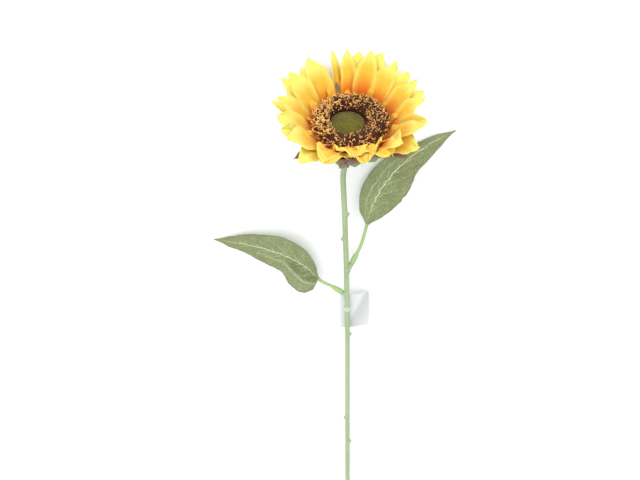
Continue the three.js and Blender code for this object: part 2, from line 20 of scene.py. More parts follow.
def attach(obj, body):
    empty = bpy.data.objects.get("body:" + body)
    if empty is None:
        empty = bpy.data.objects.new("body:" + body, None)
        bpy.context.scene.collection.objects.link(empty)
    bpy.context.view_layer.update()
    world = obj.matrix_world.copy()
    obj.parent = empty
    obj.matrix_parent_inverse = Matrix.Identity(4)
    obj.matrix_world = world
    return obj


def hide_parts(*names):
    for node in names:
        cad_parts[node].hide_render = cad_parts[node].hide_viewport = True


bl_info = {
    "name": "Artificial Sunflower",
    "version": (1, 0, 0),
    "blender": (4, 5, 0),
    "location": "View3D > Sidebar > Sunflower",
    "description": "Builds a cut sunflower of cloth and moulded plastic round its packed frame",
    "category": "Add Mesh",
}

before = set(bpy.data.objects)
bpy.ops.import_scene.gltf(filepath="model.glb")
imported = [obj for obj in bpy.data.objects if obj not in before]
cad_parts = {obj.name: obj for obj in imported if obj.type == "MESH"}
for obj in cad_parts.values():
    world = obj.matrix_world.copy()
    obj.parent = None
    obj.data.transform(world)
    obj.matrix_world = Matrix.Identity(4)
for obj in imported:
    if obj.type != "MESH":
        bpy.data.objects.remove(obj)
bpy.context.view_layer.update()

MM = 0.001
TURN = 2 * math.pi
GOLDEN_ANGLE = math.pi * (3 - math.sqrt(5))

# Points closer together than this are one point of a seam.
SEAM = 1e-7
RING_SEAM = 2e-5

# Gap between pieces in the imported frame, and the thickness of its petal cloth.
GAP = 0.3 * MM
SOLID_CLOTH = 0.7 * MM

# Lying down: the stem climbs a little from its cut end to the bloom.
LYING_SLOPE = math.radians(2.7)
PLACE_X = 14.970 * MM
PLACE_Y = -326.120 * MM
FLOOR_BLEND = 3 * MM

# Stem.
STEM_FACETS = 12
STEM_STEP = 4 * MM
STEM_BEND_FROM = 520 * MM
STEM_BOW_LOW = -0.8 * MM
STEM_BOW_HIGH = 6.2 * MM
STEM_RIBS = 7
STEM_RIB_HEIGHT = 0.05 * MM
COAT_UNEVENNESS = 0.10 * MM
NECK_SWAY = -0.6 * MM
NECK_STEPS = 26
BORE_RADIUS = 1.2 * MM
BORE_DEPTH = 2 * MM
WIRE_RADIUS = 0.9 * MM
WIRE_STEP = 8 * MM
KNOB_HEIGHT = 2.5 * MM
KNOB_SPREAD = 2.3 * MM
KNOB_STEP = 0.5 * MM
KNOBS = ((139 * MM, 1), (183 * MM, -1), (321 * MM, 1), (452 * MM, -1), (482 * MM, 1))

# Bloom: its own frame starts where the calyx cup ends, with +Z looking out of it.
BLOOM_ORIGIN = Vector((8, -9.4, 578)) * MM
BLOOM_TILT = math.radians(28)
CUP_MOUTH = -16 * MM
CUP_END = -6 * MM
CUP_RIBS = 15
CUP_RIB_DEPTH = 0.35 * MM
WHORL_STEP = 1.5 * MM
WASHER_RADIUS = 27 * MM
WASHER_THICKNESS = 0.6 * MM
WASHER_DISH = 0.3 * MM
WASHER_HOLE = 3.7 * MM

# The way up from the floor, on the upright flower and in the bloom's frame, and the way in which the
# bloom looks, on the upright flower.
FLOWER_UP = Vector((0, -math.cos(LYING_SLOPE), math.sin(LYING_SLOPE)))
BLOOM_UP = Vector((0, -math.cos(BLOOM_TILT + LYING_SLOPE), math.sin(BLOOM_TILT + LYING_SLOPE)))
BLOOM_AXIS = Vector((0, -math.sin(BLOOM_TILT), math.cos(BLOOM_TILT)))

# Blades: how they turn up at the shoulder, how far round they count as standing at the front, how
# their cloth bends, and how the dye varies round the bloom, which also paints light on the left
# petals and shade on the rear ones.
BLADE_ROOT = 24 * MM
SHOULDER = 34 * MM
SHOULDER_BEND = 12 * MM
REAR_RISE = math.radians(5)
SIDE_RISE = math.radians(4)
FRONT_FROM = 0.66
FRONT_TO = 0.98
FRONT_STRAIGHT = 8 * MM
BOW_BY_TWIST = 0.08 * MM
ROOT_WIDTH = 0.44
CRUMPLE = 3.0 * MM
TIP_TURN_DOWN = 1.6 * MM
LEFT_DYE_AND_PAINTED_LIGHT = 1.0
REAR_DYE_AND_PAINTED_SHADE = 0.7

# What is added to a whorl's seed for each thing that varies from blade to blade.
RISE_DRAW = 1
DROOP_DRAW = 4
FOLD_DRAW = 6
SHADE_DRAW = 7
TIP_DRAW = 8
TEETH_DRAW = 9
RAG_DRAW = 10
HOOK_DRAW = 24

# Loose threads, and the blades that they hang from.
THREAD_SEED = 57
THREAD_RADIUS = 0.12 * MM
THREADS_EACH = 3
FRAYED = (
    ("sepals", 9), ("sepals", 11), ("sepals", 13), ("petals_back", 6), ("petals_back", 11),
    ("petals_front", 1), ("petals_front", 5), ("petals_front", 12),
)

# Seed head: the ring's cross-section is given by its radii and heights in millimetres, from its inner
# foot to its outer foot.
RING_FOOT = 8.6 * MM
RING_OUTER = 36.2 * MM
RING_INNER = 17.9 * MM
RING_RADII = (17.9, 18.2, 18.8, 21, 24.2, 27.6, 31, 34, 36, 36.2, 34.2)
RING_HEIGHTS = (0, 3, 6, 8.6, 10, 10.2, 9.4, 7.8, 5.4, 2.8, 0)
RING_BUMPS = 0.5 * MM
RING_SINK = 0.7 * MM
FLORET_SEED = 7
FLORET_RADIUS = 0.68 * MM
CURL_SEED = 19
CURL_RADIUS = 0.34 * MM
PAD_RADIUS = 17 * MM
PAD_OFFSET = -3.5 * MM
PAD_LIFT = 1 * MM
PAD_CROWN = 3.2 * MM
PAD_BUMPS = 0.35 * MM
PAD_STEPS = 26
TUFT_SEED = 41

# Leaf stalks.
PEG_RADIUS = 1.6 * MM
BOSS_RADIUS = 3.0 * MM
SLEEVE_RADIUS = 3.2 * MM
SLEEVE_BORE = 1.9 * MM
SLEEVE_LENGTH = 15 * MM
SLEEVE_BORE_DEPTH = 10 * MM
STALK_RADIUS = 1.9 * MM
RIB_END_RADIUS = 0.7 * MM
RIB_END = 0.7
SLEEVE_STEPS = 8
BEND_STEPS = 24
RIB_STEPS = 40

# Leaf blades. The side veins have a number, a run towards the tip, a curve, and a shift by which those
# of the two sides miss each other. No blade comes nearer to the floor than its level.
VEIN_COUNT = 8.0
VEIN_SWEEP = 0.3
VEIN_CURVE = 0.85
VEIN_SHIFT = 0.22
LEAF_CRUMPLE = 1.3 * MM
LEAF_MIDRIB = 0.25 * MM
LEAF_LEVEL = 0.8 * MM

# Blank tag and its band.
TAG_WIDTH = 34.5 * MM
TAG_HEIGHT = 47 * MM
TAG_LEFT = -5.5 * MM
TAG_BOTTOM = 328 * MM
TAG_BOW = 1.5 * MM
TAG_CURL = 0.5 * MM
BAND_HEIGHT = 6 * MM
BAND_BOTTOM = 356 * MM
BAND_THICKNESS = 0.7 * MM

# Camera, on the upright flower: it looks level ahead, then tilts down and rolls.
CAMERA_PLACE = Vector((-26.7, -554.0, 740.0)) * MM
CAMERA_PITCH = math.radians(27.5)
CAMERA_ROLL = math.radians(2.13)
CAMERA_LENS = 31.5
CAMERA_SENSOR = 36.0
CAMERA_NEAR = 0.01

# Studio.
FLOOR_HALF_WIDTH = 4.0
SURROUND = (0.96, 0.98, 1.0, 1.0)
SURROUND_STRENGTH = 0.75


@dataclass(frozen=True)
class Whorl:
    """One whorl of stamped cloth. Each row of blades is a blade's sideways lean at the tip in
    millimetres, its share of length, its added rise in degrees, its share of width, and its twist in
    degrees. The front values are what changes for blades at the front of the bloom."""

    level: int  # its place in the stack, counted from the cup
    turn: float  # how far it is turned, as a share of one blade
    seed: int
    grid: tuple  # steps across and along a blade
    length: float  # of a blade, past the shoulder
    width: float  # half of a blade's width at its widest place
    widest: float  # where that place is, as a share of the blade
    tip: float  # share of the width that is left at the tip
    rise: float  # how far a blade turns up at the shoulder
    droop: float  # how far its tip hangs back
    cup: float  # how far its edges bend up, as a share of its width
    pleat: float  # height of a pleat
    pleats: float  # soft folds across a blade
    ruffle: float  # height of the waves of its edges
    front_rise: float
    blades: tuple
    front_curl: float = 0.0
    front_spread: float = 0.0
    # For petals, the front blades' dye moves towards the root colour: partly dye, partly painted shade.
    front_dye_and_painted_shade: float = 0.0


# What the two whorls of long petals have in common.
LONG_PETALS = {
    "grid": (30, 50),
    "length": 56 * MM,
    "width": 10.0 * MM,
    "widest": 0.58,
    "tip": 0.2,
    "cup": 0.16,
    "pleat": 0.55 * MM,
    "pleats": 1.5,
    "ruffle": 1.0 * MM,
    "front_rise": math.radians(28),
    "front_dye_and_painted_shade": 3.8,
}

WHORLS = {
    "sepals": Whorl(
        level=0, turn=0.25, seed=11, grid=(12, 34), length=42 * MM, width=6.8 * MM, widest=0.45, tip=0.12,
        rise=math.radians(35), droop=2.0 * MM, cup=0.15, pleat=0.4 * MM, pleats=1.0, ruffle=0.8 * MM,
        front_rise=math.radians(44), front_spread=9 * MM, front_dye_and_painted_shade=0.3,
        blades=(
            (1.9, 0.78, 0, 1.0, 5), (2.1, 0.98, 0, 1.0, -8), (1.5, 0.97, 0, 1.1, 10),
            (-2.6, 0.96, 0, 1.0, 6), (0.0, 0.72, 24, 0.75, 20), (-1.1, 1.00, 0, 1.0, -6),
            (-0.1, 1.00, 0, 1.1, 8), (2.4, 1.00, 0, 1.0, 3), (-1.7, 0.84, 0, 1.0, -9),
            (-0.8, 1.03, -9, 0.9, 12), (3.0, 0.84, -8, 1.9, -10), (-4.7, 0.74, 1, 1.7, 8),
            (-6.0, 0.80, 7, 1.6, -10), (-1.0, 0.95, -4, 1.3, 10), (-2.7, 0.66, -8, 1.0, 4),
        ),
    ),
    "petals_back": Whorl(
        **LONG_PETALS, level=1, turn=0.5, seed=5, rise=math.radians(42.5), droop=2.0 * MM,
        front_curl=math.radians(70),
        blades=(
            (4.0, 0.90, 0, 0.95, 12), (0.3, 0.93, 0, 1.0, 14), (2.0, 1.03, 0, 1.05, 3),
            (-6.0, 0.98, 0, 1.2, 4), (-6.8, 1.02, 2, 0.72, 34), (-5.3, 0.92, 0, 1.0, -8),
            (-3.6, 1.00, 0, 1.05, -12), (-5.0, 0.95, 0, 1.0, -14), (4.7, 1.02, 2, 1.0, -18),
            (-1.0, 0.97, -8, 1.1, -14), (-3.4, 0.88, -6, 1.5, -12), (-2.9, 0.90, 0, 1.55, 14),
            (-3.3, 0.90, 2, 1.55, 14), (-7.5, 0.98, -6, 1.35, 16), (-9.0, 0.97, 3, 1.0, 16),
        ),
    ),
    "petals_front": Whorl(
        **LONG_PETALS, level=2, turn=0.0, seed=8, rise=math.radians(50), droop=3.0 * MM,
        front_curl=math.radians(75),
        blades=(
            (4.0, 0.92, 0, 0.85, 12), (-1.7, 0.91, 0, 0.9, 12), (4.6, 0.95, 0, 1.06, 10),
            (-4.0, 0.98, 0, 1.06, 8), (-8.0, 0.98, 0, 0.82, 12), (2.7, 0.98, 0, 1.15, -8),
            (-0.3, 0.98, 0, 1.1, -14), (8.3, 0.98, 0, 1.05, -10), (4.9, 1.01, 2, 1.1, -20),
            (0.1, 1.0, 0, 1.4, -22), (2.4, 0.86, -8, 1.3, -10), (-2.4, 0.84, 0, 1.6, 12),
            (-2.4, 0.84, 3, 1.35, 6), (-3.0, 0.93, 3, 1.35, 12), (-9.0, 1.00, 0, 1.0, 18),
        ),
    ),
    "petals_inner": Whorl(
        level=3, turn=0.25, seed=3, grid=(12, 22), length=19.5 * MM, width=3.6 * MM, widest=0.7, tip=0.62,
        rise=math.radians(64), droop=1.0 * MM, cup=0.22, pleat=0.2 * MM, pleats=1.0, ruffle=0.4 * MM,
        front_rise=math.radians(18), front_curl=math.radians(30),
        blades=(
            (0.3, 0.90, 0, 0.9, 10), (0.5, 0.75, 2, 0.8, -20), (0.1, 1.02, 0, 0.8, 15),
            (0.4, 0.70, 4, 0.9, -10), (0.9, 1.02, 0, 1.35, 12), (0.4, 0.95, 0, 1.2, -15),
            (-0.5, 0.70, 3, 0.8, 20), (0.5, 0.90, 0, 1.0, -10), (0.2, 0.96, 2, 1.2, 18),
            (-0.4, 1.0, 3, 1.4, -16), (0.5, 0.96, 4, 1.3, 14), (0.1, 1.03, 3, 1.3, -12),
            (-0.5, 0.95, 0, 1.0, 16),
        ),
    ),
}


@dataclass(frozen=True)
class LeafSide:
    """Widths of one side of a blade in millimetres, at even steps from base to tip, and its bends."""

    widths: tuple
    fold: float  # angle by which the side is folded up
    sweep: float  # how far its base reaches back along the stalk
    phase: float  # where its waves start
    lobe: float = 0.0  # height of the folded lobe beside the base


@dataclass(frozen=True)
class Leaf:
    """A leaf: joint is its height on the stem, and the midrib is a cubic curve with four points."""

    joint: float
    direction: tuple  # of the peg and the sleeve on it
    sleeve_start: float
    base_heading: tuple
    midrib: tuple
    face: tuple  # the way that the upper face looks
    waves: float
    wave_height: float
    left: LeafSide
    right: LeafSide
    seed: int


LEAVES = {
    "left": Leaf(
        joint=377.5 * MM, direction=(-0.84, 0.18, 0.5), sleeve_start=6.4 * MM,
        base_heading=(-0.5, 0.15, 0.85), face=(-0.05, -0.96, 0.28), waves=2.2, wave_height=2.2 * MM, seed=21,
        midrib=((-31, 5, 398.5), (-50, 10, 428), (-100, 17, 440), (-149, 22.5, 446)),
        left=LeafSide((11, 26, 27, 19, 16.8, 14.2, 9.5, 6, 0.4), math.radians(8), 0.6, 0.15, 5.0 * MM),
        right=LeafSide((1.5, 10.5, 20, 24.5, 24.8, 20, 15.5, 7.5, 0.4), math.radians(30), 0.0, 0.45),
    ),
    "right": Leaf(
        joint=408 * MM, direction=(0.48, 0.17, 0.86), sleeve_start=12.6 * MM,
        base_heading=(0.25, 0.13, 0.96), face=(-0.14, -0.93, 0.34), waves=1.8, wave_height=1.8 * MM, seed=34,
        midrib=((26.5, 9, 465), (34, 15, 505), (66, 22, 541), (122.5, 28.5, 562.5)),
        left=LeafSide((1.5, 12.2, 18.8, 20.2, 19, 14, 8.5, 5.5, 0.4), math.radians(14), 0.3, 0.6),
        right=LeafSide((2.5, 14.8, 23, 26.2, 25.2, 17.8, 14.4, 8.4, 0.4), math.radians(16), 0.2, 0.9),
    ),
}


# Properties.


def length_property(name, description, millimetres):
    """A length of the flower, with its default in millimetres."""
    return FloatProperty(name=name, description=description, default=millimetres * MM, min=0.0,
                         precision=5, unit="LENGTH")


def colour_property(name, description, default):
    """A colour of the flower, as red, green and blue."""
    return FloatVectorProperty(name=name, description=description, default=default, size=3,
                               min=0.0, max=1.0, subtype="COLOR")


class SunflowerSizes(bpy.types.PropertyGroup):
    """Sizes of the flower that a user may change."""

    stem_radius: length_property("Stem radius", "Radius of the coated stem", 3.0)
    petal_cloth: length_property("Petal cloth", "Thickness of the petal cloth", 0.45)
    leaf_cloth: length_property("Leaf cloth", "Thickness of the leaf cloth", 0.6)
    card: length_property("Card", "Thickness of the blank tag", 0.5)
    vein_relief: length_property("Vein relief", "How far a leaf puffs up between its veins", 0.8)
    floret_length: length_property("Floret length", "Length of a dark floret", 3.6)
    curl_length: length_property("Curl length", "Length of a golden floret tip", 3.2)
    nap: length_property("Nap", "Length of the pad's flock", 0.9)
    floret_count: IntProperty(name="Florets", description="Dark florets of the ring", default=950, min=1)
    curl_count: IntProperty(name="Curls", description="Golden floret tips of the ring", default=2600, min=1)
    nap_count: IntProperty(name="Flock", description="Tufts of flock on the pad", default=2600, min=1)


class SunflowerColours(bpy.types.PropertyGroup):
    """Colours of the flower that a user may change."""

    petal_root: colour_property("Petal root", "Petal cloth beside the florets", (0.90, 0.17, 0.006))
    petal_middle: colour_property("Petal middle", "Petal cloth half way out", (1.0, 0.56, 0.05))
    petal_tip: colour_property("Petal tip", "Petal cloth at the tip", (1.0, 0.88, 0.19))
    petal_streak: colour_property("Petal streak", "Fine streaks of the petals", (0.85, 0.22, 0.02))
    inner_petal: colour_property("Inner petal", "Short petals beside the florets", (1.0, 0.42, 0.04))
    sepal: colour_property("Sepal", "Sepal cloth", (0.27, 0.34, 0.12))
    sepal_tip: colour_property("Sepal tip", "Sepal cloth at the tip", (0.26, 0.115, 0.10))
    leaf: colour_property("Leaf", "Leaf cloth, upper face", (0.235, 0.28, 0.115))
    leaf_back: colour_property("Leaf back", "Leaf cloth, under face", (0.33, 0.41, 0.19))
    vein: colour_property("Vein", "Printed veins of the leaves", (0.86, 0.88, 0.56))
    stem: colour_property("Stem", "Coat of the stem", (0.315, 0.405, 0.215))
    stalk: colour_property("Stalk", "Moulded leaf stalks", (0.33, 0.44, 0.175))
    cup: colour_property("Cup", "Moulded calyx cup", (0.20, 0.36, 0.09))
    floret: colour_property("Floret", "Dark florets of the ring", (0.062, 0.016, 0.008))
    floret_tip: colour_property("Floret tip", "Golden tips of the florets", (1.0, 0.65, 0.22))
    pad: colour_property("Pad", "Flock of the seed pad", (0.175, 0.145, 0.012))
    card: colour_property("Card", "Blank tag", (0.66, 0.68, 0.67))
    floor: colour_property("Floor", "Floor of the studio", (0.95, 0.95, 0.95))


def sizes():
    """The flower's sizes in this scene."""
    return bpy.context.scene.sunflower_sizes


def colours():
    """The flower's colours in this scene."""
    return bpy.context.scene.sunflower_colours


# Shared geometry.


def draw(seed, index):
    """A fixed value between -1 and 1 for each seed and index."""
    raw = math.sin(seed * 12.9898 + index * 78.233) * 43758.5453
    return 2 * (raw - math.floor(raw)) - 1


def any_way(chance, reach):
    """A random vector, each part of which is at most reach."""
    return Vector([chance.uniform(-reach, reach) for _ in range(3)])


def smooth_step(low, high, value):
    """0 at low and 1 at high, also where low is the larger one, with an even slope at both ends."""
    share = min(max((value - low) / (high - low), 0.0), 1.0)
    return share * share * (3 - 2 * share)


def bezier(points, share):
    """A point of the cubic curve with these four points."""
    a, b, c, d = (Vector(point) for point in points)
    rest = 1 - share
    return a * rest**3 + b * (3 * rest * rest * share) + c * (3 * rest * share * share) + d * share**3


def bezier_heading(points, share):
    """The unit direction in which that curve runs there."""
    a, b, c, d = (Vector(point) for point in points)
    rest = 1 - share
    return ((b - a) * rest * rest + (c - b) * (2 * rest * share) + (d - c) * share * share).normalized()


def bezier_path(points, shares):
    """Centres and headings of that curve."""
    return [(bezier(points, share), bezier_heading(points, share)) for share in shares]


def between(values, share):
    """A value between evenly spaced ones, on a smooth curve through them."""
    place = share * (len(values) - 1)
    i = min(int(place), len(values) - 2)
    t = place - i
    a, b, c, d = values[max(i - 1, 0)], values[i], values[i + 1], values[min(i + 2, len(values) - 1)]
    return b + 0.5 * t * (c - a + t * (2 * a - 5 * b + 4 * c - d + t * (3 * (b - c) + d - a)))


def foot_height():
    """Height of the stem's axis above the floor at its cut end."""
    return sizes().stem_radius * math.cos(math.pi / STEM_FACETS) * math.cos(LYING_SLOPE)


def laid_down():
    """The upright flower's frame, as it lies in the row frame."""
    place = Matrix.Translation((PLACE_X, PLACE_Y, foot_height()))
    return place @ Matrix.Rotation(LYING_SLOPE - math.pi / 2, 4, "X")


def bloom_frame():
    """The bloom's frame on the upright flower."""
    return Matrix.Translation(BLOOM_ORIGIN) @ Matrix.Rotation(BLOOM_TILT, 4, "X")


def rest_on(point, up, height, level):
    """Push a point that is lower than level up to it, softly at first."""
    above = height - level
    if above >= FLOOR_BLEND:
        return point
    eased = 0.0 if above <= -FLOOR_BLEND else (above + FLOOR_BLEND) ** 2 / (4 * FLOOR_BLEND)
    return point + up * (eased - above)


def new_bmesh():
    """An empty bmesh with a UV map."""
    bm = bmesh.new()
    bm.loops.layers.uv.new("UVMap")
    return bm


def add_sheet(bm, place, across_steps, along_steps):
    """A grid bent so that each of its points lies at place(across, along), with across from -1 to 1
    and along from 0 to 1. It faces the side from which across runs to the left."""
    made = bmesh.ops.create_grid(bm, x_segments=across_steps, y_segments=along_steps, size=1.0,
                                 calc_uvs=True)
    for vert in made["verts"]:
        vert.co = place(-vert.co.x, (vert.co.y + 1) / 2)
    return made["verts"]


def add_tube(bm, sections, sides, swell=None):
    """A tube through sections of (centre, heading, radius): a grid rolled up until its edges meet.
    swell(centre, outward) gives what is added to the radius there."""
    last = len(sections) - 1
    made = bmesh.ops.create_grid(bm, x_segments=sides, y_segments=last, size=1.0, calc_uvs=True)
    for vert in made["verts"]:
        angle = -math.pi * (vert.co.x + 1)
        centre, heading, radius = sections[round((vert.co.y + 1) / 2 * last)]
        along = heading.normalized()
        back = (Vector((0, 1, 0)) - along * along.y).normalized()
        outward = back * math.cos(angle) + back.cross(along) * math.sin(angle)
        extra = swell(centre, outward) if swell else 0.0
        vert.co = centre + outward * (radius + extra)
    bmesh.ops.remove_doubles(bm, verts=made["verts"], dist=SEAM)


def fill_ends(bm):
    """Close a tube at both ends."""
    bmesh.ops.holes_fill(bm, edges=[edge for edge in bm.edges if edge.is_boundary], sides=0)


def add_lathe(bm, profile, segments):
    """A turned shape about +Z: a line of edges through (radius, height) points, spun once round."""
    verts = [bm.verts.new((radius, 0, height)) for radius, height in profile]
    edges = [bm.edges.new(pair) for pair in zip(verts, verts[1:])]
    bmesh.ops.spin(bm, geom=verts + edges, cent=(0, 0, 0), axis=(0, 0, 1), dvec=(0, 0, 0),
                   angle=TURN, steps=segments, use_merge=True, use_duplicate=False)
    bmesh.ops.remove_doubles(bm, verts=bm.verts, dist=SEAM)


def in_metres(profile):
    """A profile that is written in millimetres."""
    return [(radius * MM, height * MM) for radius, height in profile]


def mesh_from(bm, name):
    """Turn the bmesh into a mesh, which ends the bmesh."""
    mesh = bpy.data.meshes.new(name)
    bm.to_mesh(mesh)
    bm.free()
    return mesh


def join_bmesh(bm, other):
    """Move the other bmesh's shape into this one."""
    bmesh.ops.recalc_face_normals(other, faces=other.faces)
    mesh = mesh_from(other, "joined")
    bm.from_mesh(mesh)
    bpy.data.meshes.remove(mesh)


def finish_mesh(bm, name, matrix, materials, closed=True):
    """Turn the bmesh into a named object, in its place in the row frame."""
    if closed:
        bmesh.ops.recalc_face_normals(bm, faces=bm.faces)
    bmesh.ops.transform(bm, matrix=matrix, verts=bm.verts)
    for vert in bm.verts:
        vert.co.z = max(vert.co.z, 0.0)
    for face in bm.faces:
        face.smooth = True
    for edge in bm.edges:
        if edge.is_boundary:
            edge.smooth = False
    mesh = mesh_from(bm, name)
    for material in materials:
        mesh.materials.append(material)
    made = bpy.data.objects.new(name, mesh)
    bpy.context.scene.collection.objects.link(made)
    return made


def make_piece(bm, name, matrix, materials, slot, *nodes, closed=True):
    """A piece of the flower: it rides with the flower, has those materials, and stands for those solids. The
    slot is not used.
    """
    piece = finish_mesh(bm, name, matrix, materials, closed)
    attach(piece, "root")
    if nodes:
        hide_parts(*nodes)
    return piece


def make_bloom_piece(bm, name, materials, slot, *nodes, closed=True):
    """A piece that is shaped in the bloom's frame."""
    return make_piece(bm, name, laid_down() @ bloom_frame(), materials, slot, *nodes, closed=closed)


def thicken(piece, thickness, back_slot=1):
    """Give cloth its thickness, with its own material on the under face."""
    made = piece.modifiers.new("cloth", "SOLIDIFY")
    made.thickness = thickness
    made.offset = 0.0
    made.use_rim = True
    made.material_offset = back_slot


# Shader nodes.


class NodeBuilder:
    """Adds nodes to one shader tree, with what their sockets hold or are linked to."""

    def __init__(self, tree):
        self.tree = tree

    def add(self, kind, inputs=None, **settings):
        """A node of that kind, with its inputs filled and its settings made."""
        made = self.tree.nodes.new("ShaderNode" + kind)
        for name, value in settings.items():
            setattr(made, name, value)
        for name, value in (inputs or {}).items():
            self.fill(made.inputs[name], value)
        return made

    def fill(self, socket, value):
        """Link the socket where the value is another socket, and set it otherwise."""
        if isinstance(value, bpy.types.NodeSocket):
            self.tree.links.new(value, socket)
        else:
            socket.default_value = value

    def math(self, operation, first, second=0.0, third=0.0):
        made = self.add("Math", operation=operation)
        for socket, value in zip(made.inputs, (first, second, third)):
            self.fill(socket, value)
        return made.outputs[0]

    def times(self, first, second):
        return self.math("MULTIPLY", first, second)

    def times_plus(self, first, second, third):
        """The product of the first two, and the third added to it."""
        return self.math("MULTIPLY_ADD", first, second, third)

    def size_of(self, value):
        return self.math("ABSOLUTE", value)

    def mix(self, factor, first, second):
        """Two colours mixed by a factor."""
        made = self.add("Mix", data_type="RGBA")
        colours_in = [socket for socket in made.inputs if socket.type == "RGBA"]
        self.fill(made.inputs[0], factor)
        self.fill(colours_in[0], first)
        self.fill(colours_in[1], second)
        return next(socket for socket in made.outputs if socket.type == "RGBA")

    def spread(self, value, low, high, to_low=0.0, to_high=1.0):
        """The value stretched from one range to another, with soft ends."""
        made = self.add("MapRange", interpolation_type="SMOOTHSTEP")
        for name, number in (("Value", value), ("From Min", low), ("From Max", high),
                             ("To Min", to_low), ("To Max", to_high)):
            self.fill(made.inputs[name], number)
        return made.outputs[0]

    def parts(self, vector):
        """The X, Y and Z of a vector."""
        return self.add("SeparateXYZ", {"Vector": vector}).outputs

    def scaled(self, vector, scale):
        """The vector with its parts multiplied."""
        made = self.add("Mapping", {"Vector": vector, "Scale": scale})
        return made.outputs["Vector"]

    def noise(self, vector, scale, detail=3.0):
        made = self.add("TexNoise", {"Vector": vector, "Scale": scale, "Detail": detail})
        return made.outputs[0]

    def group(self, name, vector, **numbers):
        """A node group on that vector. The words of a number's name are joined by underscores."""
        made = self.add("Group", node_tree=bpy.data.node_groups[name])
        self.fill(made.inputs["Vector"], vector)
        for number, value in numbers.items():
            self.fill(made.inputs[number.replace("_", " ").title()], value)
        return made.outputs

    def attribute(self, name):
        """A number that the mesh holds at each of its points."""
        return self.add("Attribute", attribute_name=name, attribute_type="GEOMETRY").outputs["Fac"]


class SurfaceBuilder(NodeBuilder):
    """A new material with its shader, its UV map and its object coordinates."""

    def __init__(self, name):
        self.material = bpy.data.materials.new(name)
        self.material.use_nodes = True
        super().__init__(self.material.node_tree)
        self.tree.nodes.clear()
        self.shader = self.add("BsdfPrincipled")
        surface = self.add("OutputMaterial")
        self.tree.links.new(self.shader.outputs[0], surface.inputs["Surface"])
        self.uv_map = self.add("UVMap", uv_map="UVMap").outputs[0]
        self.place = self.add("TexCoord").outputs["Object"]

    def vary_roughness(self, mask, smoothest, roughest):
        """Let the roughness follow a mask."""
        self.fill(self.shader.inputs["Roughness"], self.spread(mask, 0.0, 1.0, smoothest, roughest))

    def finish(self, colour, height, depth, roughness, **others):
        """Give the shader its colour, a bump of that depth and the rest of its finish."""
        bump = self.add("Bump", {"Height": height, "Distance": depth, "Strength": 1.0})
        self.fill(self.shader.inputs["Base Color"], colour)
        self.fill(self.shader.inputs["Normal"], bump.outputs[0])
        self.shader.inputs["Roughness"].default_value = roughness
        for name, value in others.items():
            socket = name.replace("_", " ").title().replace("Ior", "IOR")
            self.shader.inputs[socket].default_value = value
        return self.material


def toned(tint, red=1.0, green=None, blue=None):
    """The tint, opaque, with its parts multiplied: all of them by red, or each by its own factor."""
    factors = (red, red, red) if green is None else (red, green, blue)
    return (*(part * factor for part, factor in zip(tint, factors)), 1.0)


def shader_group(name, numbers, outputs, build):
    """A node group that takes a vector and named numbers. build(nodes, given) returns what each output
    is linked to."""
    tree = bpy.data.node_groups.new(name, "ShaderNodeTree")
    tree.interface.new_socket(name="Vector", in_out="INPUT", socket_type="NodeSocketVector")
    for socket, default in numbers.items():
        made = tree.interface.new_socket(name=socket, in_out="INPUT", socket_type="NodeSocketFloat")
        made.default_value = default
    for socket in outputs:
        tree.interface.new_socket(name=socket, in_out="OUTPUT", socket_type="NodeSocketFloat")
    nodes = NodeBuilder(tree)
    given = tree.nodes.new("NodeGroupInput").outputs
    result = tree.nodes.new("NodeGroupOutput").inputs
    for socket, value in build(nodes, given).items():
        tree.links.new(value, result[socket])


def build_weave(nodes, given):
    """Threads that pass over and under each other."""
    places = nodes.parts(given["Vector"])
    waves = []
    for axis, count in (("X", "Threads Across"), ("Y", "Threads Along")):
        threads = nodes.times(places[axis], given[count])
        waves.append(nodes.math("SINE", nodes.times(threads, TURN)))
    crossing = nodes.times(waves[0], waves[1])
    return {"Height": nodes.times_plus(crossing, 0.5, 0.5)}


def build_dye(nodes, given):
    """Uneven dye: soft patches with finer ones inside them."""
    coarse = nodes.noise(given["Vector"], given["Scale"], 2.0)
    fine = nodes.noise(given["Vector"], nodes.times(given["Scale"], 7.0), 4.0)
    both = nodes.times_plus(fine, 0.4, nodes.times(coarse, 0.6))
    return {"Mask": nodes.spread(both, 0.36, 0.64)}


def build_streaks(nodes, given):
    """Thin lines along a blade, broken here and there."""
    places = nodes.parts(given["Vector"])
    stretched = nodes.add("CombineXYZ", {
        "X": nodes.times(places["X"], given["Count"]),
        "Y": nodes.times(places["Y"], 2.2),
        "Z": nodes.times(given["Shift"], 19.0),
    })
    raw = nodes.noise(stretched.outputs[0], 1.0, 3.0)
    return {"Mask": nodes.spread(raw, 0.5, 0.68), "Height": raw}


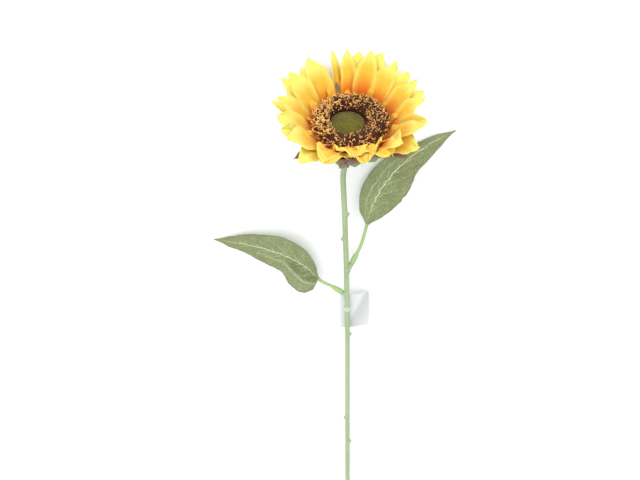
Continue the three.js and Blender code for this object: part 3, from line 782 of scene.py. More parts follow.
def build_veins(nodes, given):
    """Midrib, side veins and the fine net of a leaf, from a UV map that runs from base to tip."""
    vector = given["Vector"]
    places = nodes.parts(vector)
    along = places["Y"]
    centred = nodes.times_plus(places["X"], 2.0, -1.0)
    across = nodes.size_of(centred)

    # Side veins and finer ones between them, both swept towards the tip and broken here and there.
    wander = nodes.times_plus(nodes.noise(vector, 9.0, 2.0), 0.08, -0.04)
    swept = nodes.times(nodes.math("POWER", across, VEIN_CURVE), VEIN_SWEEP)
    start = nodes.math("ADD", nodes.math("SUBTRACT", along, swept), wander)
    shift = nodes.times(nodes.math("SIGN", centred), VEIN_SHIFT)

    def lines(count, outside, inside):
        """Lines that come back count times between base and tip."""
        phase = nodes.math("FRACT", nodes.times_plus(start, count, shift))
        return nodes.spread(nodes.size_of(nodes.math("SUBTRACT", phase, 0.5)), outside, inside)

    thick = nodes.times(lines(VEIN_COUNT, 0.43, 0.48), nodes.spread(across, 0.7, 0.08, 0.16, 0.9))
    fine = nodes.times(lines(VEIN_COUNT * 2.6, 0.38, 0.47), nodes.spread(across, 0.42, 0.12, 0.0, 0.55))
    broken = nodes.spread(nodes.noise(vector, 26.0, 3.0), 0.42, 0.6, 0.2, 1.0)
    veins = nodes.times(nodes.math("MAXIMUM", thick, fine), broken)

    # A midrib that sways, with a beaded edge.
    beads = nodes.noise(nodes.scaled(vector, (2.0, 85.0, 1.0)), 1.0, 2.0)
    beaded = nodes.times_plus(beads, 0.13, -0.052)
    thin = nodes.math("MAXIMUM", nodes.times_plus(along, 0.012, beaded), 0.003)
    swaying = nodes.noise(nodes.scaled(vector, (0.0, 19.0, 1.0)), 1.0, 2.0)
    off_line = nodes.size_of(nodes.math("ADD", centred, nodes.times_plus(swaying, 0.26, -0.13)))
    midrib = nodes.spread(off_line, nodes.times(thin, 1.25), nodes.times(thin, 0.75))

    # The net of the smallest veins, the cut edge, and a painted highlight along a fold beside the midrib.
    net = nodes.add("TexVoronoi", {"Vector": nodes.scaled(vector, (14.0, 34.0, 1.0)), "Scale": 1.0},
                    feature="DISTANCE_TO_EDGE")
    web = nodes.spread(net.outputs["Distance"], 0.07, 0.0)
    edge = nodes.spread(across, 0.93, 1.0)
    off_fold = nodes.size_of(nodes.math("ADD", nodes.times_plus(wander, 3.0, 0.48), centred))
    fold = nodes.times(nodes.spread(off_fold, 0.07, 0.0), nodes.spread(along, 0.75, 0.45))
    return {"Veins": veins, "Midrib": midrib, "Net": web, "Edge": edge, "Fold_Highlight": fold}


def build_moulding(nodes, given):
    """Fine flow lines and specks of a moulded surface."""
    long_lines = nodes.noise(nodes.scaled(given["Vector"], (900.0, 26.0, 900.0)), 1.0, 2.0)
    specks = nodes.noise(given["Vector"], given["Scale"], 4.0)
    height = nodes.times_plus(long_lines, 0.6, nodes.times(specks, 0.4))
    return {"Height": height, "Wear": nodes.spread(specks, 0.42, 0.62)}


def make_groups():
    """The effects that the materials share, with their usual numbers."""
    shader_group("woven_cloth", {"Threads Across": 60.0, "Threads Along": 180.0}, ["Height"], build_weave)
    shader_group("uneven_dye", {"Scale": 60.0}, ["Mask"], build_dye)
    shader_group("blade_streaks", {"Count": 12.0, "Shift": 0.0}, ["Mask", "Height"], build_streaks)
    shader_group("leaf_veins", {}, ["Veins", "Midrib", "Net", "Edge", "Fold_Highlight"], build_veins)
    shader_group("moulded_surface", {"Scale": 500.0}, ["Height", "Wear"], build_moulding)


# Materials.


def petal_material(name, root, middle, tip, streak, stops, streak_count=10.0, glow=0.2):
    """Pleated cloth that lets some light through, dyed from root to tip, with fine streaks."""
    nodes = SurfaceBuilder(name)
    shade = nodes.attribute("shade")
    places = nodes.parts(nodes.uv_map)
    along = places["Y"]
    # The shade attribute shifts the dye along the blade; round the bloom it carries painted light and shade.
    shifted = nodes.times_plus(shade, 0.07, along)
    lower = nodes.mix(nodes.spread(shifted, stops[0], stops[1]), root, middle)
    dyed = nodes.mix(nodes.spread(shifted, stops[1], stops[2]), lower, tip)
    streaks = nodes.group("blade_streaks", nodes.uv_map, count=streak_count, shift=shade)
    fading = nodes.spread(shifted, 0.85, 0.25, 0.03, 0.5)
    streaked = nodes.mix(nodes.times(streaks["Mask"], fading), dyed, streak)
    to_edge = nodes.size_of(nodes.times_plus(places["X"], 2.0, -1.0))
    rim = nodes.times(nodes.spread(to_edge, 0.4, 1.0), nodes.spread(along, 0.2, 0.6, 0.0, 0.6))
    rimmed = nodes.mix(rim, streaked, tip)
    patches = nodes.group("uneven_dye", nodes.uv_map, scale=6.0)["Mask"]
    colour = nodes.mix(nodes.times(patches, 0.10), rimmed, middle)
    weave = nodes.group("woven_cloth", nodes.uv_map, threads_across=62.0, threads_along=190.0)["Height"]
    nodes.vary_roughness(weave, 0.66, 0.82)
    return nodes.finish(colour, nodes.times_plus(streaks["Height"], 2.0, weave), 0.12 * MM, 0.74,
                        specular_ior_level=0.25, sheen_weight=0.1, sheen_roughness=0.5,
                        subsurface_weight=glow, subsurface_scale=3 * MM, subsurface_radius=(1.0, 0.7, 0.25))


def make_petal_materials():
    """The cloth of the long petals' two faces, of the short petals and of the sepals."""
    tints = colours()
    root, middle, tip = toned(tints.petal_root), toned(tints.petal_middle), toned(tints.petal_tip)
    streak, inner = toned(tints.petal_streak), toned(tints.inner_petal)
    sepal, sepal_tip = toned(tints.sepal), toned(tints.sepal_tip)
    return (
        petal_material("petal_face", root, middle, tip, streak, (0.28, 0.62, 0.88)),
        petal_material("petal_back", root, middle, tip, streak, (0.3, 0.6, 0.92)),
        petal_material("inner_petal", root, inner, middle, streak, (0.2, 0.6, 1.1), 7.0),
        petal_material("sepal_cloth", sepal, sepal, sepal_tip, sepal_tip, (0.3, 0.55, 0.9), 9.0, 0.1),
    )


def leaf_material(name, tint, vein, strength):
    """Cloth printed with pale veins, darker in patches and browned along its cut edge. The lobe beside
    the base is greyer on its crown, a painted highlight, and darker in the hollow inside it, painted
    shade; a pale line along a fold beside the midrib is a painted highlight too."""
    nodes = SurfaceBuilder(name)
    veins = nodes.group("leaf_veins", nodes.uv_map)
    patches = nodes.group("uneven_dye", nodes.place, scale=70.0)["Mask"]
    shade = nodes.attribute("shade")
    # Painted highlight: the crown of the folded lobe is greyer. Painted shade: its hollow is darker.
    lobe = nodes.mix(nodes.spread(shade, 0.02, 0.35), toned(tint), toned(tint, 1.0, 1.0, 1.14))
    hollow_painted_shade = nodes.mix(nodes.spread(shade, -0.03, -0.28, 0.0, 0.9), lobe, toned(tint, 0.62))
    dyed = nodes.mix(nodes.times(patches, 0.8), hollow_painted_shade, toned(tint, 0.76))
    netted = nodes.mix(nodes.times(veins["Net"], 0.2 * strength), dyed, vein)
    # Painted highlight: a pale line along a fold beside the midrib.
    fold_highlighted = nodes.mix(nodes.times(veins["Fold_Highlight"], 0.24), netted, vein)
    plain = nodes.spread(shade, 0.05, 0.3, 0.72 * strength, 0.12 * strength)
    veined = nodes.mix(nodes.times(veins["Veins"], plain), fold_highlighted, vein)
    ribbed = nodes.mix(nodes.times(veins["Midrib"], strength), veined, vein)
    edged = nodes.mix(nodes.times(veins["Edge"], 0.7), ribbed, toned(tint, 0.62, 0.48, 0.62))
    weave = nodes.group("woven_cloth", nodes.uv_map, threads_across=95.0, threads_along=280.0)["Height"]
    raised = nodes.math("ADD", veins["Veins"], veins["Midrib"])
    height = nodes.times_plus(raised, 1.2, nodes.times(weave, 0.8))
    nodes.vary_roughness(weave, 0.68, 0.84)
    return nodes.finish(edged, height, 0.14 * MM, 0.78, sheen_weight=0.2, sheen_roughness=0.45)


def plastic_material(name, tint, roughness, coat=0.0):
    """Moulded plastic with faint flow lines, duller where it has been handled."""
    nodes = SurfaceBuilder(name)
    surface = nodes.group("moulded_surface", nodes.place, scale=500.0)
    cloud = nodes.group("uneven_dye", nodes.place, scale=30.0)["Mask"]
    pale = [min(part * 1.18 + 0.015, 1.0) for part in tint]
    shaded = nodes.mix(nodes.times(surface["Wear"], 0.5), toned(tint), toned(tint, 0.84))
    clouded = nodes.mix(nodes.times(cloud, 0.6), shaded, toned(pale))
    nodes.vary_roughness(surface["Wear"], roughness - 0.05, roughness + 0.1)
    return nodes.finish(clouded, surface["Height"], 0.08 * MM, roughness, coat_weight=coat,
                        coat_roughness=0.3)


def floret_material(name, tint, tip_tint, low, high):
    """Small moulded tips: darker at the root, with a tint of their own each."""
    nodes = SurfaceBuilder(name)
    along = nodes.parts(nodes.uv_map)["Y"]
    mixed = nodes.mix(nodes.spread(along, low, high), toned(tint), toned(tip_tint))
    shade = nodes.spread(nodes.attribute("shade"), 0.25, 1.0, 0.0, 0.8)
    tinted = nodes.mix(shade, mixed, toned(tint))
    grain = nodes.noise(nodes.place, 1400.0, 3.0)
    return nodes.finish(tinted, grain, 0.06 * MM, 0.55, specular_ior_level=0.2)


def flock_material():
    """Velvet flock: darker in soft patches, with pale specks all over it."""
    nodes = SurfaceBuilder("pad_flock")
    tint = colours().pad
    specks = nodes.noise(nodes.place, 900.0, 5.0)
    patches = nodes.group("uneven_dye", nodes.place, scale=120.0)["Mask"]
    ground = nodes.mix(nodes.times(patches, 0.6), toned(tint), toned(tint, 0.42))
    pale = (tint[0] * 2.0 + 0.02, tint[1] * 2.0 + 0.02, tint[2] * 1.6)
    speckled = nodes.mix(nodes.spread(specks, 0.5, 0.72), ground, toned(pale))
    return nodes.finish(speckled, specks, 0.3 * MM, 0.95, sheen_weight=0.5, sheen_roughness=0.4)


def card_material():
    """Smooth coated card, bare, with the faint mottle of its paper and a painted reflection: greyer across a
    slanting band.
    """
    nodes = SurfaceBuilder("blank_card")
    tint = colours().card
    fibres = nodes.noise(nodes.scaled(nodes.place, (260.0, 90.0, 260.0)), 1.0, 4.0)
    places = nodes.parts(nodes.uv_map)
    # Painted reflection: a slanting band over the card, mixed towards a greyer tone.
    slant = nodes.times_plus(places["Y"], -0.7, places["X"])
    sheen = nodes.times(nodes.spread(slant, 0.1, 0.26), nodes.spread(slant, 1.0, 0.3))
    mottled = nodes.mix(nodes.spread(fibres, 0.4, 0.65), toned(tint), toned(tint, 0.97))
    with_painted_reflection = nodes.mix(sheen, mottled, toned(tint, 0.78))
    return nodes.finish(with_painted_reflection, fibres, 0.03 * MM, 0.35, coat_weight=0.3, coat_roughness=0.15)


def film_material():
    """Clear film that shows the stem through it, with a faint ripple."""
    nodes = SurfaceBuilder("clear_film")
    ripple = nodes.noise(nodes.place, 220.0, 2.0)
    return nodes.finish((0.93, 0.95, 0.95, 1.0), ripple, 0.1 * MM, 0.12, alpha=0.3)


def steel_material():
    """Drawn steel wire, with fine lines along it and a few dull spots."""
    nodes = SurfaceBuilder("drawn_wire")
    lines = nodes.noise(nodes.scaled(nodes.place, (4000.0, 60.0, 4000.0)), 1.0, 2.0)
    spots = nodes.group("uneven_dye", nodes.place, scale=300.0)["Mask"]
    spotted = nodes.mix(nodes.times(spots, 0.5), (0.60, 0.61, 0.63, 1.0), (0.38, 0.37, 0.36, 1.0))
    nodes.vary_roughness(spots, 0.28, 0.5)
    return nodes.finish(spotted, lines, 0.03 * MM, 0.35, metallic=1.0)


def floor_material():
    """Matte pale paper sweep."""
    nodes = SurfaceBuilder("studio_floor")
    grain = nodes.noise(nodes.place, 300.0, 3.0)
    return nodes.finish(toned(colours().floor), grain, 0.05 * MM, 0.9)


# Bloom.


def blade_half_width(whorl, along):
    """A blade swells from its root to its widest place, and ends bluntly."""
    if along < whorl.widest:
        return whorl.width * (ROOT_WIDTH + (1 - ROOT_WIDTH) * math.sin(math.pi / 2 * along / whorl.widest))
    past = (along - whorl.widest) / (1 - whorl.widest)
    return whorl.width * (whorl.tip + (1 - whorl.tip) * max(1 - past**2.7, 0.0) ** 0.9)


def tip_rag(whorl, index, across):
    """How much shorter the blade is at a share of its width: a blunt point with two or three teeth."""
    teeth = abs(math.sin(1.3 * math.pi * (across + 0.6 * draw(whorl.seed + TEETH_DRAW, index))))
    return 0.055 * across * across + 0.03 * (1.2 + draw(whorl.seed + RAG_DRAW, index)) * (1 - teeth)


def ridge(place):
    """A pleat's cross-section: 1 on its sharp ridge and 0 in the round valley beside it."""
    return 1 - abs(math.sin(math.pi * place)) ** 0.8


def blade_azimuth(whorl, index):
    """The way that a blade points, seen from the front of the bloom."""
    return TURN * (index + whorl.turn + 0.12 * draw(whorl.seed, index)) / len(whorl.blades)


def front_share(whorl, index):
    """1 for a blade at the front of the bloom, and 0 for one at its sides or its back."""
    return smooth_step(FRONT_FROM, FRONT_TO, -math.sin(blade_azimuth(whorl, index)))


def blade_rise(whorl, index):
    """The angle by which a blade turns up at the shoulder."""
    azimuth = blade_azimuth(whorl, index)
    lift = whorl.blades[index][2]
    rise = (whorl.rise + REAR_RISE * math.sin(azimuth) + SIDE_RISE * math.cos(azimuth) ** 2
            + 0.03 * draw(whorl.seed + RISE_DRAW, index) + math.radians(lift))
    return rise + whorl.front_rise * front_share(whorl, index)


def blade_shade(whorl, index):
    """How a blade's dye is shifted: the more, the nearer to its root it has the colour of its tip. Besides
    a random tone of its own, the shift paints light on the left petals, and shade on the rear petals and
    in part on the front ones.
    """
    azimuth = blade_azimuth(whorl, index)
    return (draw(whorl.seed + SHADE_DRAW, index) - whorl.front_dye_and_painted_shade * front_share(whorl, index)
            - LEFT_DYE_AND_PAINTED_LIGHT * min(math.cos(azimuth), 0.0)
            - REAR_DYE_AND_PAINTED_SHADE * max(math.sin(azimuth), 0.0))


def blade_path(distance, flat, length, bend, rise, curl):
    """Where a blade's middle line is at a distance from its root, as a radius, a height and a slope: it
    runs flat, bends up to rise at the shoulder, and curls back by curl over its outer part."""
    turned = min(max((distance - flat) / bend, 0.0), rise)
    straight = max(distance - flat - bend * rise, 0.0)
    before = min(straight, FRONT_STRAIGHT) if curl > 0 else straight
    radius = BLADE_ROOT + min(distance, flat) + bend * math.sin(turned) + before * math.cos(rise)
    height = bend * (1 - math.cos(turned)) + before * math.sin(rise)
    slope = turned
    if straight > before:
        rate = curl / (length - bend * rise - before)
        slope = rise - rate * (straight - before)
        radius += (math.sin(rise) - math.sin(slope)) / rate
        height += (math.cos(slope) - math.cos(rise)) / rate
    return radius, height, slope


def blade_side(whorl, index, across, along, half_width, twist):
    """How far a point of a blade is to the side of the line on which the blade points."""
    lean, _, _, _, twist_angle = whorl.blades[index]
    uneven = noise.noise(Vector((along * 5.0, whorl.seed * 3.1 + index, 7.0 if across > 0 else 3.0)))
    side = across * half_width * math.cos(twist) * (1 + 0.16 * uneven * along) + lean * MM * along * along
    side -= BOW_BY_TWIST * twist_angle * math.sin(math.pi * along)
    hook = 0.45 * draw(whorl.seed + HOOK_DRAW, index) - 0.1 * math.cos(blade_azimuth(whorl, index))
    return side + hook * whorl.width * smooth_step(0.6, 1.0, along)


def blade_relief(whorl, index, across, along, half_width, twist, front, curled):
    """How far a point of a blade stands off its middle line: its cloth is cupped, folded, pleated,
    twisted, ruffled and crumpled, and hangs down towards the tip."""
    seed = whorl.seed
    phase = draw(seed + FOLD_DRAW, index)
    waves = whorl.pleats * (1 + 0.7 * front)
    fold = 1.5 * whorl.pleat * (1 + 0.8 * front - curled) * math.cos(math.pi * waves * across + 2.0 * phase)
    pleats = 0.45 * whorl.pleat * ridge(3.4 * across * (1 - 0.25 * along) + phase)
    swing = math.sin(TURN * (2.1 * (1 + front) * along + phase + 0.25 * across))
    ruffle = whorl.ruffle * (1 + 1.6 * front) * across * across * swing
    spot = Vector((across * 1.4 + 5 * index, along * 7.0, seed))
    crumple = CRUMPLE * math.sqrt(front) * noise.noise(spot)
    return (whorl.cup * half_width * across * across * along
            + (fold + pleats) * smooth_step(0.08, 0.55, along)
            + across * half_width * math.sin(twist)
            + (ruffle + crumple) * along
            - whorl.droop * (1 + draw(seed + DROOP_DRAW, index)) * (1 - front) * along**4
            - TIP_TURN_DOWN * smooth_step(0.84, 1.0, along) * (1 + draw(seed + TIP_DRAW, index)))


def blade_point(whorl, index, across, along):
    """A point of one petal or sepal, in the bloom's frame."""
    _, reach, _, breadth, twist_angle = whorl.blades[index]
    azimuth = blade_azimuth(whorl, index)
    front = front_share(whorl, index)
    curled = front if whorl.front_curl > 0 else 0.0
    length = whorl.length * reach
    flat = SHOULDER - BLADE_ROOT + whorl.front_spread * front
    near_tip = smooth_step(0.55, 1.0, along)
    distance = along * (flat + length) * (1 - near_tip * tip_rag(whorl, index, across))
    foot = (whorl.level + 0.5) * WHORL_STEP + GAP / 2
    radius, height, slope = blade_path(distance, flat, length, SHOULDER_BEND - foot,
                                       blade_rise(whorl, index), whorl.front_curl * front)
    half_width = blade_half_width(whorl, along) * breadth
    twist = math.radians(twist_angle) * smooth_step(0.0, 0.75, along) * (1 - 0.4 * curled)
    side = blade_side(whorl, index, across, along, half_width, twist)
    relief = blade_relief(whorl, index, across, along, half_width, twist, front, curled)
    radius -= relief * math.sin(slope)
    point = Vector((
        radius * math.cos(azimuth) - side * math.sin(azimuth),
        radius * math.sin(azimuth) + side * math.cos(azimuth),
        foot + height + relief * math.cos(slope),
    ))
    bloom_height = foot_height() + BLOOM_ORIGIN.dot(FLOWER_UP)
    level = max(whorl.level - 1, 0) * (SOLID_CLOTH + 2 * GAP) + sizes().petal_cloth / 2
    return rest_on(point, BLOOM_UP, bloom_height + point.dot(BLOOM_UP), level)


def add_washer(bm, whorl):
    """The cloth disc in the middle of a whorl, from which its blades are cut."""
    foot = whorl.level * WHORL_STEP + GAP
    rim = foot + WASHER_DISH
    flat = 0.75 * WASHER_RADIUS
    under = ((WASHER_HOLE, foot), (flat, foot), (WASHER_RADIUS, rim))
    upper = [(radius, height + WASHER_THICKNESS) for radius, height in reversed(under)]
    add_lathe(bm, (*under, *upper, under[0]), segments=64)


def make_whorl(name, node, slot, materials):
    """All blades of one whorl as one piece of cloth, and its disc as a second piece."""
    whorl = WHORLS[node]
    bm = new_bmesh()
    shade = bm.verts.layers.float.new("shade")
    for index in range(len(whorl.blades)):
        for vert in add_sheet(bm, partial(blade_point, whorl, index), *whorl.grid):
            vert[shade] = blade_shade(whorl, index)
    thicken(make_bloom_piece(bm, name, materials, slot, node, closed=False), sizes().petal_cloth)
    disc = new_bmesh()
    add_washer(disc, whorl)
    make_bloom_piece(disc, name + "_disc", materials[1:], slot)


def make_threads(material):
    """Loose threads at the frayed tips of some blades."""
    chance = random.Random(THREAD_SEED)
    bm = new_bmesh()
    for node, index in FRAYED:
        whorl = WHORLS[node]
        tip = blade_point(whorl, index, 0.0, 0.98)
        ahead = (tip - blade_point(whorl, index, 0.0, 0.9)).normalized()
        for _ in range(THREADS_EACH):
            start = blade_point(whorl, index, chance.uniform(-0.8, 0.8), 0.97)
            bend = any_way(chance, 1.2)
            step = chance.uniform(0.5, 0.9) * MM
            sections = []
            for share in (0.0, 0.2, 0.4, 0.6, 0.8, 1.0):
                heading = (ahead + bend * share).normalized()
                sections.append((start, heading, THREAD_RADIUS))
                start = start + heading * step
            thread = new_bmesh()
            add_tube(thread, sections, sides=5)
            fill_ends(thread)
            join_bmesh(bm, thread)
    make_bloom_piece(bm, "loose_threads", [material], "sepal_fabric")


def make_cup():
    """Moulded cup: a socket on the stem that flares into a dish with soft ribs."""
    profile = (
        (3.3, -16), (4.6, -16.2), (5.2, -15.6), (5.5, -12), (5.8, -9), (7.4, -7.0), (10, -5.5), (13, -4.1),
        (16, -3), (18, -2.0), (19, -1.2), (19.1, -0.6), (18.8, -0.1), (3.7, 0), (3.7, -5), (0, -5),
    )
    bm = new_bmesh()
    add_lathe(bm, in_metres(profile), segments=96)
    for vert in bm.verts:
        radius = math.hypot(vert.co.x, vert.co.y)
        angle = math.atan2(vert.co.y, vert.co.x)
        depth = CUP_RIB_DEPTH * smooth_step(5.5 * MM, 12 * MM, radius)
        depth *= smooth_step(-0.5 * MM, -2 * MM, vert.co.z)
        vert.co.z += depth * math.cos(CUP_RIBS * angle)
    make_bloom_piece(bm, "cup", [plastic_material("cup_plastic", colours().cup, 0.5)], "cup_plastic",
                     "calyx_cup")


# Seed head.


def ring_surface(share, azimuth):
    """A point on the ring of florets and the way out of it: share runs from its inner foot to its outer."""
    radius, height = between(RING_RADII, share) * MM, between(RING_HEIGHTS, share) * MM
    ahead, behind = min(share + 0.02, 1.0), max(share - 0.02, 0.0)
    run = between(RING_RADII, ahead) - between(RING_RADII, behind)
    climb = between(RING_HEIGHTS, ahead) - between(RING_HEIGHTS, behind)
    offset = PAD_OFFSET * (RING_OUTER - radius) / (RING_OUTER - RING_INNER)
    outward = Vector((math.cos(azimuth), math.sin(azimuth), 0))
    point = outward * radius + Vector((offset, 0, RING_FOOT + height))
    return point, (outward * -climb + Vector((0, 0, run))).normalized()


def make_ring_core(material):
    """The dark body that the florets stand on."""

    def place(across, along):
        point, out = ring_surface(along, math.pi * (1 - across))
        return point + out * (RING_BUMPS * noise.noise(point * 450) - RING_SINK)

    bm = new_bmesh()
    add_sheet(bm, place, 120, 34)
    bmesh.ops.remove_doubles(bm, verts=bm.verts, dist=RING_SEAM)
    bmesh.ops.bridge_loops(bm, edges=[edge for edge in bm.edges if edge.is_boundary])
    make_bloom_piece(bm, "floret_bed", [material], "floret_plastic", "floret_ring")


def floret_template(length, radius, bow, steps, flare):
    """One small tube that bows to a side and ends in a flare or a point."""
    sections = []
    for step in range(steps + 1):
        share = step / steps
        angle = bow * share
        sideways = length * (1 - math.cos(angle)) / bow
        ahead = length * math.sin(angle) / bow
        width = radius * (1 - 0.35 * share + flare * share**3)
        heading = Vector((math.sin(angle), 0.0, math.cos(angle)))
        sections.append((Vector((sideways, 0.0, ahead)), heading, width))
    bm = new_bmesh()
    add_tube(bm, sections, sides=5)
    fill_ends(bm)
    bmesh.ops.recalc_face_normals(bm, faces=bm.faces)
    return mesh_from(bm, "floret_template")


def make_scattered(name, material, slot, templates, places):
    """Copies of the templates at each (matrix, shade), as one piece of the bloom."""
    bm = new_bmesh()
    layer = bm.verts.layers.float.new("shade")
    for index, (matrix, shade) in enumerate(places):
        before = len(bm.verts)
        bm.from_mesh(templates[index % len(templates)])
        bm.verts.ensure_lookup_table()
        copied = bm.verts[before:]
        bmesh.ops.transform(bm, matrix=matrix, verts=copied)
        for vert in copied:
            vert[layer] = shade
    make_bloom_piece(bm, name, [material], slot, closed=False)


def standing(point, out, lean, spin, scale):
    """A matrix that stands a template on a surface, leaning by a vector and turned about itself."""
    up = (out + lean).normalized()
    return (Matrix.Translation(point) @ up.to_track_quat("Z", "Y").to_matrix().to_4x4()
            @ Matrix.Rotation(spin, 4, "Z") @ Matrix.Scale(scale, 4))


def floret_places(count, seed, spread, sink, gold):
    """Places on the ring, each a little out of line. Those on its inner side at the front lean outwards
    and are smaller. The golden ones stand in clumps, with more of them at the rear and the left, and
    with larger ones on the left."""
    chance = random.Random(seed)
    places = []
    for index in range(count):
        share = spread[0] + (spread[1] - spread[0]) * ((index + 0.5) / count)
        azimuth = index * GOLDEN_ANGLE + chance.uniform(-0.1, 0.1)
        point, out = ring_surface(min(max(share + chance.uniform(-0.03, 0.03), 0.0), 1.0), azimuth)
        lean = any_way(chance, 0.6)
        scale = chance.uniform(0.7, 1.2)
        spin = chance.uniform(0, TURN)
        shade = chance.random()
        roll = chance.random()
        low = smooth_step(0.0, 0.8, -math.sin(azimuth)) * smooth_step(0.65, 0.35, share)
        lean += Vector((math.cos(azimuth), math.sin(azimuth), 0)) * low
        scale *= 1 - 0.5 * low
        if gold:
            leftward = 0.5 - 0.5 * math.cos(azimuth - math.radians(20))
            rear = 0.5 + 0.5 * math.sin(azimuth)
            clump = smooth_step(-0.45, 0.25, noise.noise(point * 260))
            rim = smooth_step(0.14, 0.36, share)
            if roll > rim * clump * (0.45 + 0.18 * leftward + 0.55 * rear):
                continue
            scale = (chance.uniform(0.55, 1.0) + 1.1 * leftward * chance.random() ** 3) * (1 - 0.35 * low)
        places.append((standing(point - out * sink, out, lean, spin, scale), shade))
    return places


def make_floret_ring():
    """A ring of dark florets, with golden curled tips between them."""
    size, tints = sizes(), colours()
    dark = floret_material("floret_dark", tints.floret, (0.15, 0.05, 0.028), 0.6, 1.0)
    gold = floret_material("floret_gold", (0.62, 0.24, 0.05), tints.floret_tip, 0.0, 0.4)
    make_ring_core(dark)
    stubs = [floret_template(size.floret_length, FLORET_RADIUS, bow, 3, 0.35) for bow in (0.3, 0.8, 1.2)]
    curls = [floret_template(size.curl_length, CURL_RADIUS, bow, 4, 0.9) for bow in (0.5, 1.3, 2.1, 2.9)]
    make_scattered("florets", dark, "floret_plastic", stubs,
                   floret_places(size.floret_count, FLORET_SEED, (0.16, 0.97), 2.0 * MM, False))
    make_scattered("floret_curls", gold, "floret_plastic", curls,
                   floret_places(size.curl_count, CURL_SEED, (0.18, 0.94), 0.3 * MM, True))


def pad_height(radius):
    """Height of the pad's dome."""
    return RING_FOOT + PAD_LIFT + PAD_CROWN * (1 - (radius / PAD_RADIUS) ** 2)


def make_tuft():
    """A tuft of flock: a small cone."""
    bm = new_bmesh()
    bmesh.ops.create_cone(bm, cap_ends=True, segments=4, radius1=0.22 * MM, radius2=0.05 * MM,
                          depth=sizes().nap * 1.6)
    return mesh_from(bm, "tuft")


def make_seed_pad():
    """A low flocked dome: a bumpy bed, covered in short tufts."""
    material = flock_material()
    bm = new_bmesh()
    radii = [PAD_RADIUS * step / PAD_STEPS for step in range(PAD_STEPS + 1)]
    profile = [(radius, pad_height(radius)) for radius in radii]
    add_lathe(bm, profile + [(PAD_RADIUS, RING_FOOT), (0, RING_FOOT)], segments=96)
    for vert in bm.verts:
        if vert.co.z > RING_FOOT + PAD_LIFT / 2:
            vert.co.z += PAD_BUMPS * noise.noise(vert.co * 700)
        vert.co.x += PAD_OFFSET
    make_bloom_piece(bm, "pad_bed", [material], "pad_flock", "seed_pad")
    chance = random.Random(TUFT_SEED)
    count = sizes().nap_count
    places = []
    for index in range(count):
        radius = (PAD_RADIUS - 0.5 * MM) * math.sqrt((index + 0.5) / count)
        azimuth = index * GOLDEN_ANGLE
        x = PAD_OFFSET + radius * math.cos(azimuth)
        point = Vector((x, radius * math.sin(azimuth), pad_height(radius)))
        lean = any_way(chance, 0.4)
        places.append((standing(point, Vector((0, 0, 1)), lean, 0.0, chance.uniform(0.7, 1.2)), 0.0))
    make_scattered("pad_nap", material, "pad_flock", [make_tuft()], places)


def make_button():
    """The moulded button that strings the whorls together, under the seed head."""
    profile = (
        (0, -4.5), (3.0, -4.5), (3.4, -4.1), (3.4, 6.3), (21.4, 6.3), (22, 6.8), (22, 7.8), (21.4, 8.3),
        (0, 8.3),
    )
    bm = new_bmesh()
    add_lathe(bm, in_metres(profile), segments=72)
    material = plastic_material("button_plastic", (0.15, 0.07, 0.03), 0.6)
    make_bloom_piece(bm, "button", [material], "button_plastic", "bloom_button")


# Stem.


def lower_stem():
    """The four points of the stem's long part, which is bowed a little."""
    return (
        (0, 0, 0), (STEM_BOW_LOW, 0, STEM_BEND_FROM / 3), (STEM_BOW_HIGH, 0, STEM_BEND_FROM * 2 / 3),
        (0, 0, STEM_BEND_FROM),
    )


def upper_stem():
    """The four points of the neck, which bends over to the bloom."""
    neck = BLOOM_ORIGIN + BLOOM_AXIS * (CUP_MOUTH - 1 * MM)
    return (
        (0, 0, STEM_BEND_FROM), (NECK_SWAY, 0, STEM_BEND_FROM + 18 * MM), neck - BLOOM_AXIS * (11 * MM), neck,
    )


def stem_at(height):
    """The middle of the stem's long part at a height."""
    return bezier(lower_stem(), height / STEM_BEND_FROM)


def stem_path(step):
    """Centres and headings up the whole stem, closer together at each knob."""
    heights = {step * index for index in range(int(STEM_BEND_FROM / step) + 1)}
    for knob, _ in KNOBS:
        heights |= {knob + KNOB_STEP * offset for offset in range(-10, 11)}
    path = bezier_path(lower_stem(), sorted(height / STEM_BEND_FROM for height in heights
                                            if height < STEM_BEND_FROM))
    path += bezier_path(upper_stem(), [index / NECK_STEPS for index in range(NECK_STEPS + 1)])
    path.append((BLOOM_ORIGIN + BLOOM_AXIS * (CUP_END - GAP), BLOOM_AXIS))
    path[0] = (path[0][0], Vector((0, 0, 1)))
    return path


def stem_swell(centre, outward):
    """Knobs left by buds, faint ribs along the coat, and the unevenness of its dipping. The cut end is
    left plain."""
    if centre.z <= 1 * MM:
        return 0.0
    swell = STEM_RIB_HEIGHT * math.cos(STEM_RIBS * math.atan2(outward.x, outward.y))
    swell += COAT_UNEVENNESS * noise.noise(Vector((outward.x, outward.y, centre.z * 45)))
    for height, side in KNOBS:
        near = math.exp(-((centre.z - height) / KNOB_SPREAD) ** 2)
        facing = max(outward.x * side, 0.0)
        swell += KNOB_HEIGHT * near * facing**4
    return swell


def make_peg(leaf, radius):
    """A bmesh of a boss on the stem, which ends in the peg for a leaf's sleeve."""
    along = Vector(leaf.direction).normalized()
    start = stem_at(leaf.joint)
    boss_end = leaf.sleeve_start - GAP
    peg_end = leaf.sleeve_start + SLEEVE_BORE_DEPTH - GAP
    rings = (
        (0.0, 3.2 * MM), (radius * 0.9, 3.6 * MM), (radius * 1.15, 3.1 * MM),
        (radius * 1.5, BOSS_RADIUS * 0.92), (boss_end * 0.85, BOSS_RADIUS * 0.96),
        (boss_end - 0.3 * MM, BOSS_RADIUS), (boss_end, BOSS_RADIUS * 0.9),
        (boss_end + 0.02 * MM, PEG_RADIUS), (peg_end - 0.3 * MM, PEG_RADIUS), (peg_end, PEG_RADIUS * 0.8),
    )
    peg = new_bmesh()
    add_tube(peg, [(start + along * distance, along, width) for distance, width in rings], sides=20)
    fill_ends(peg)
    return peg


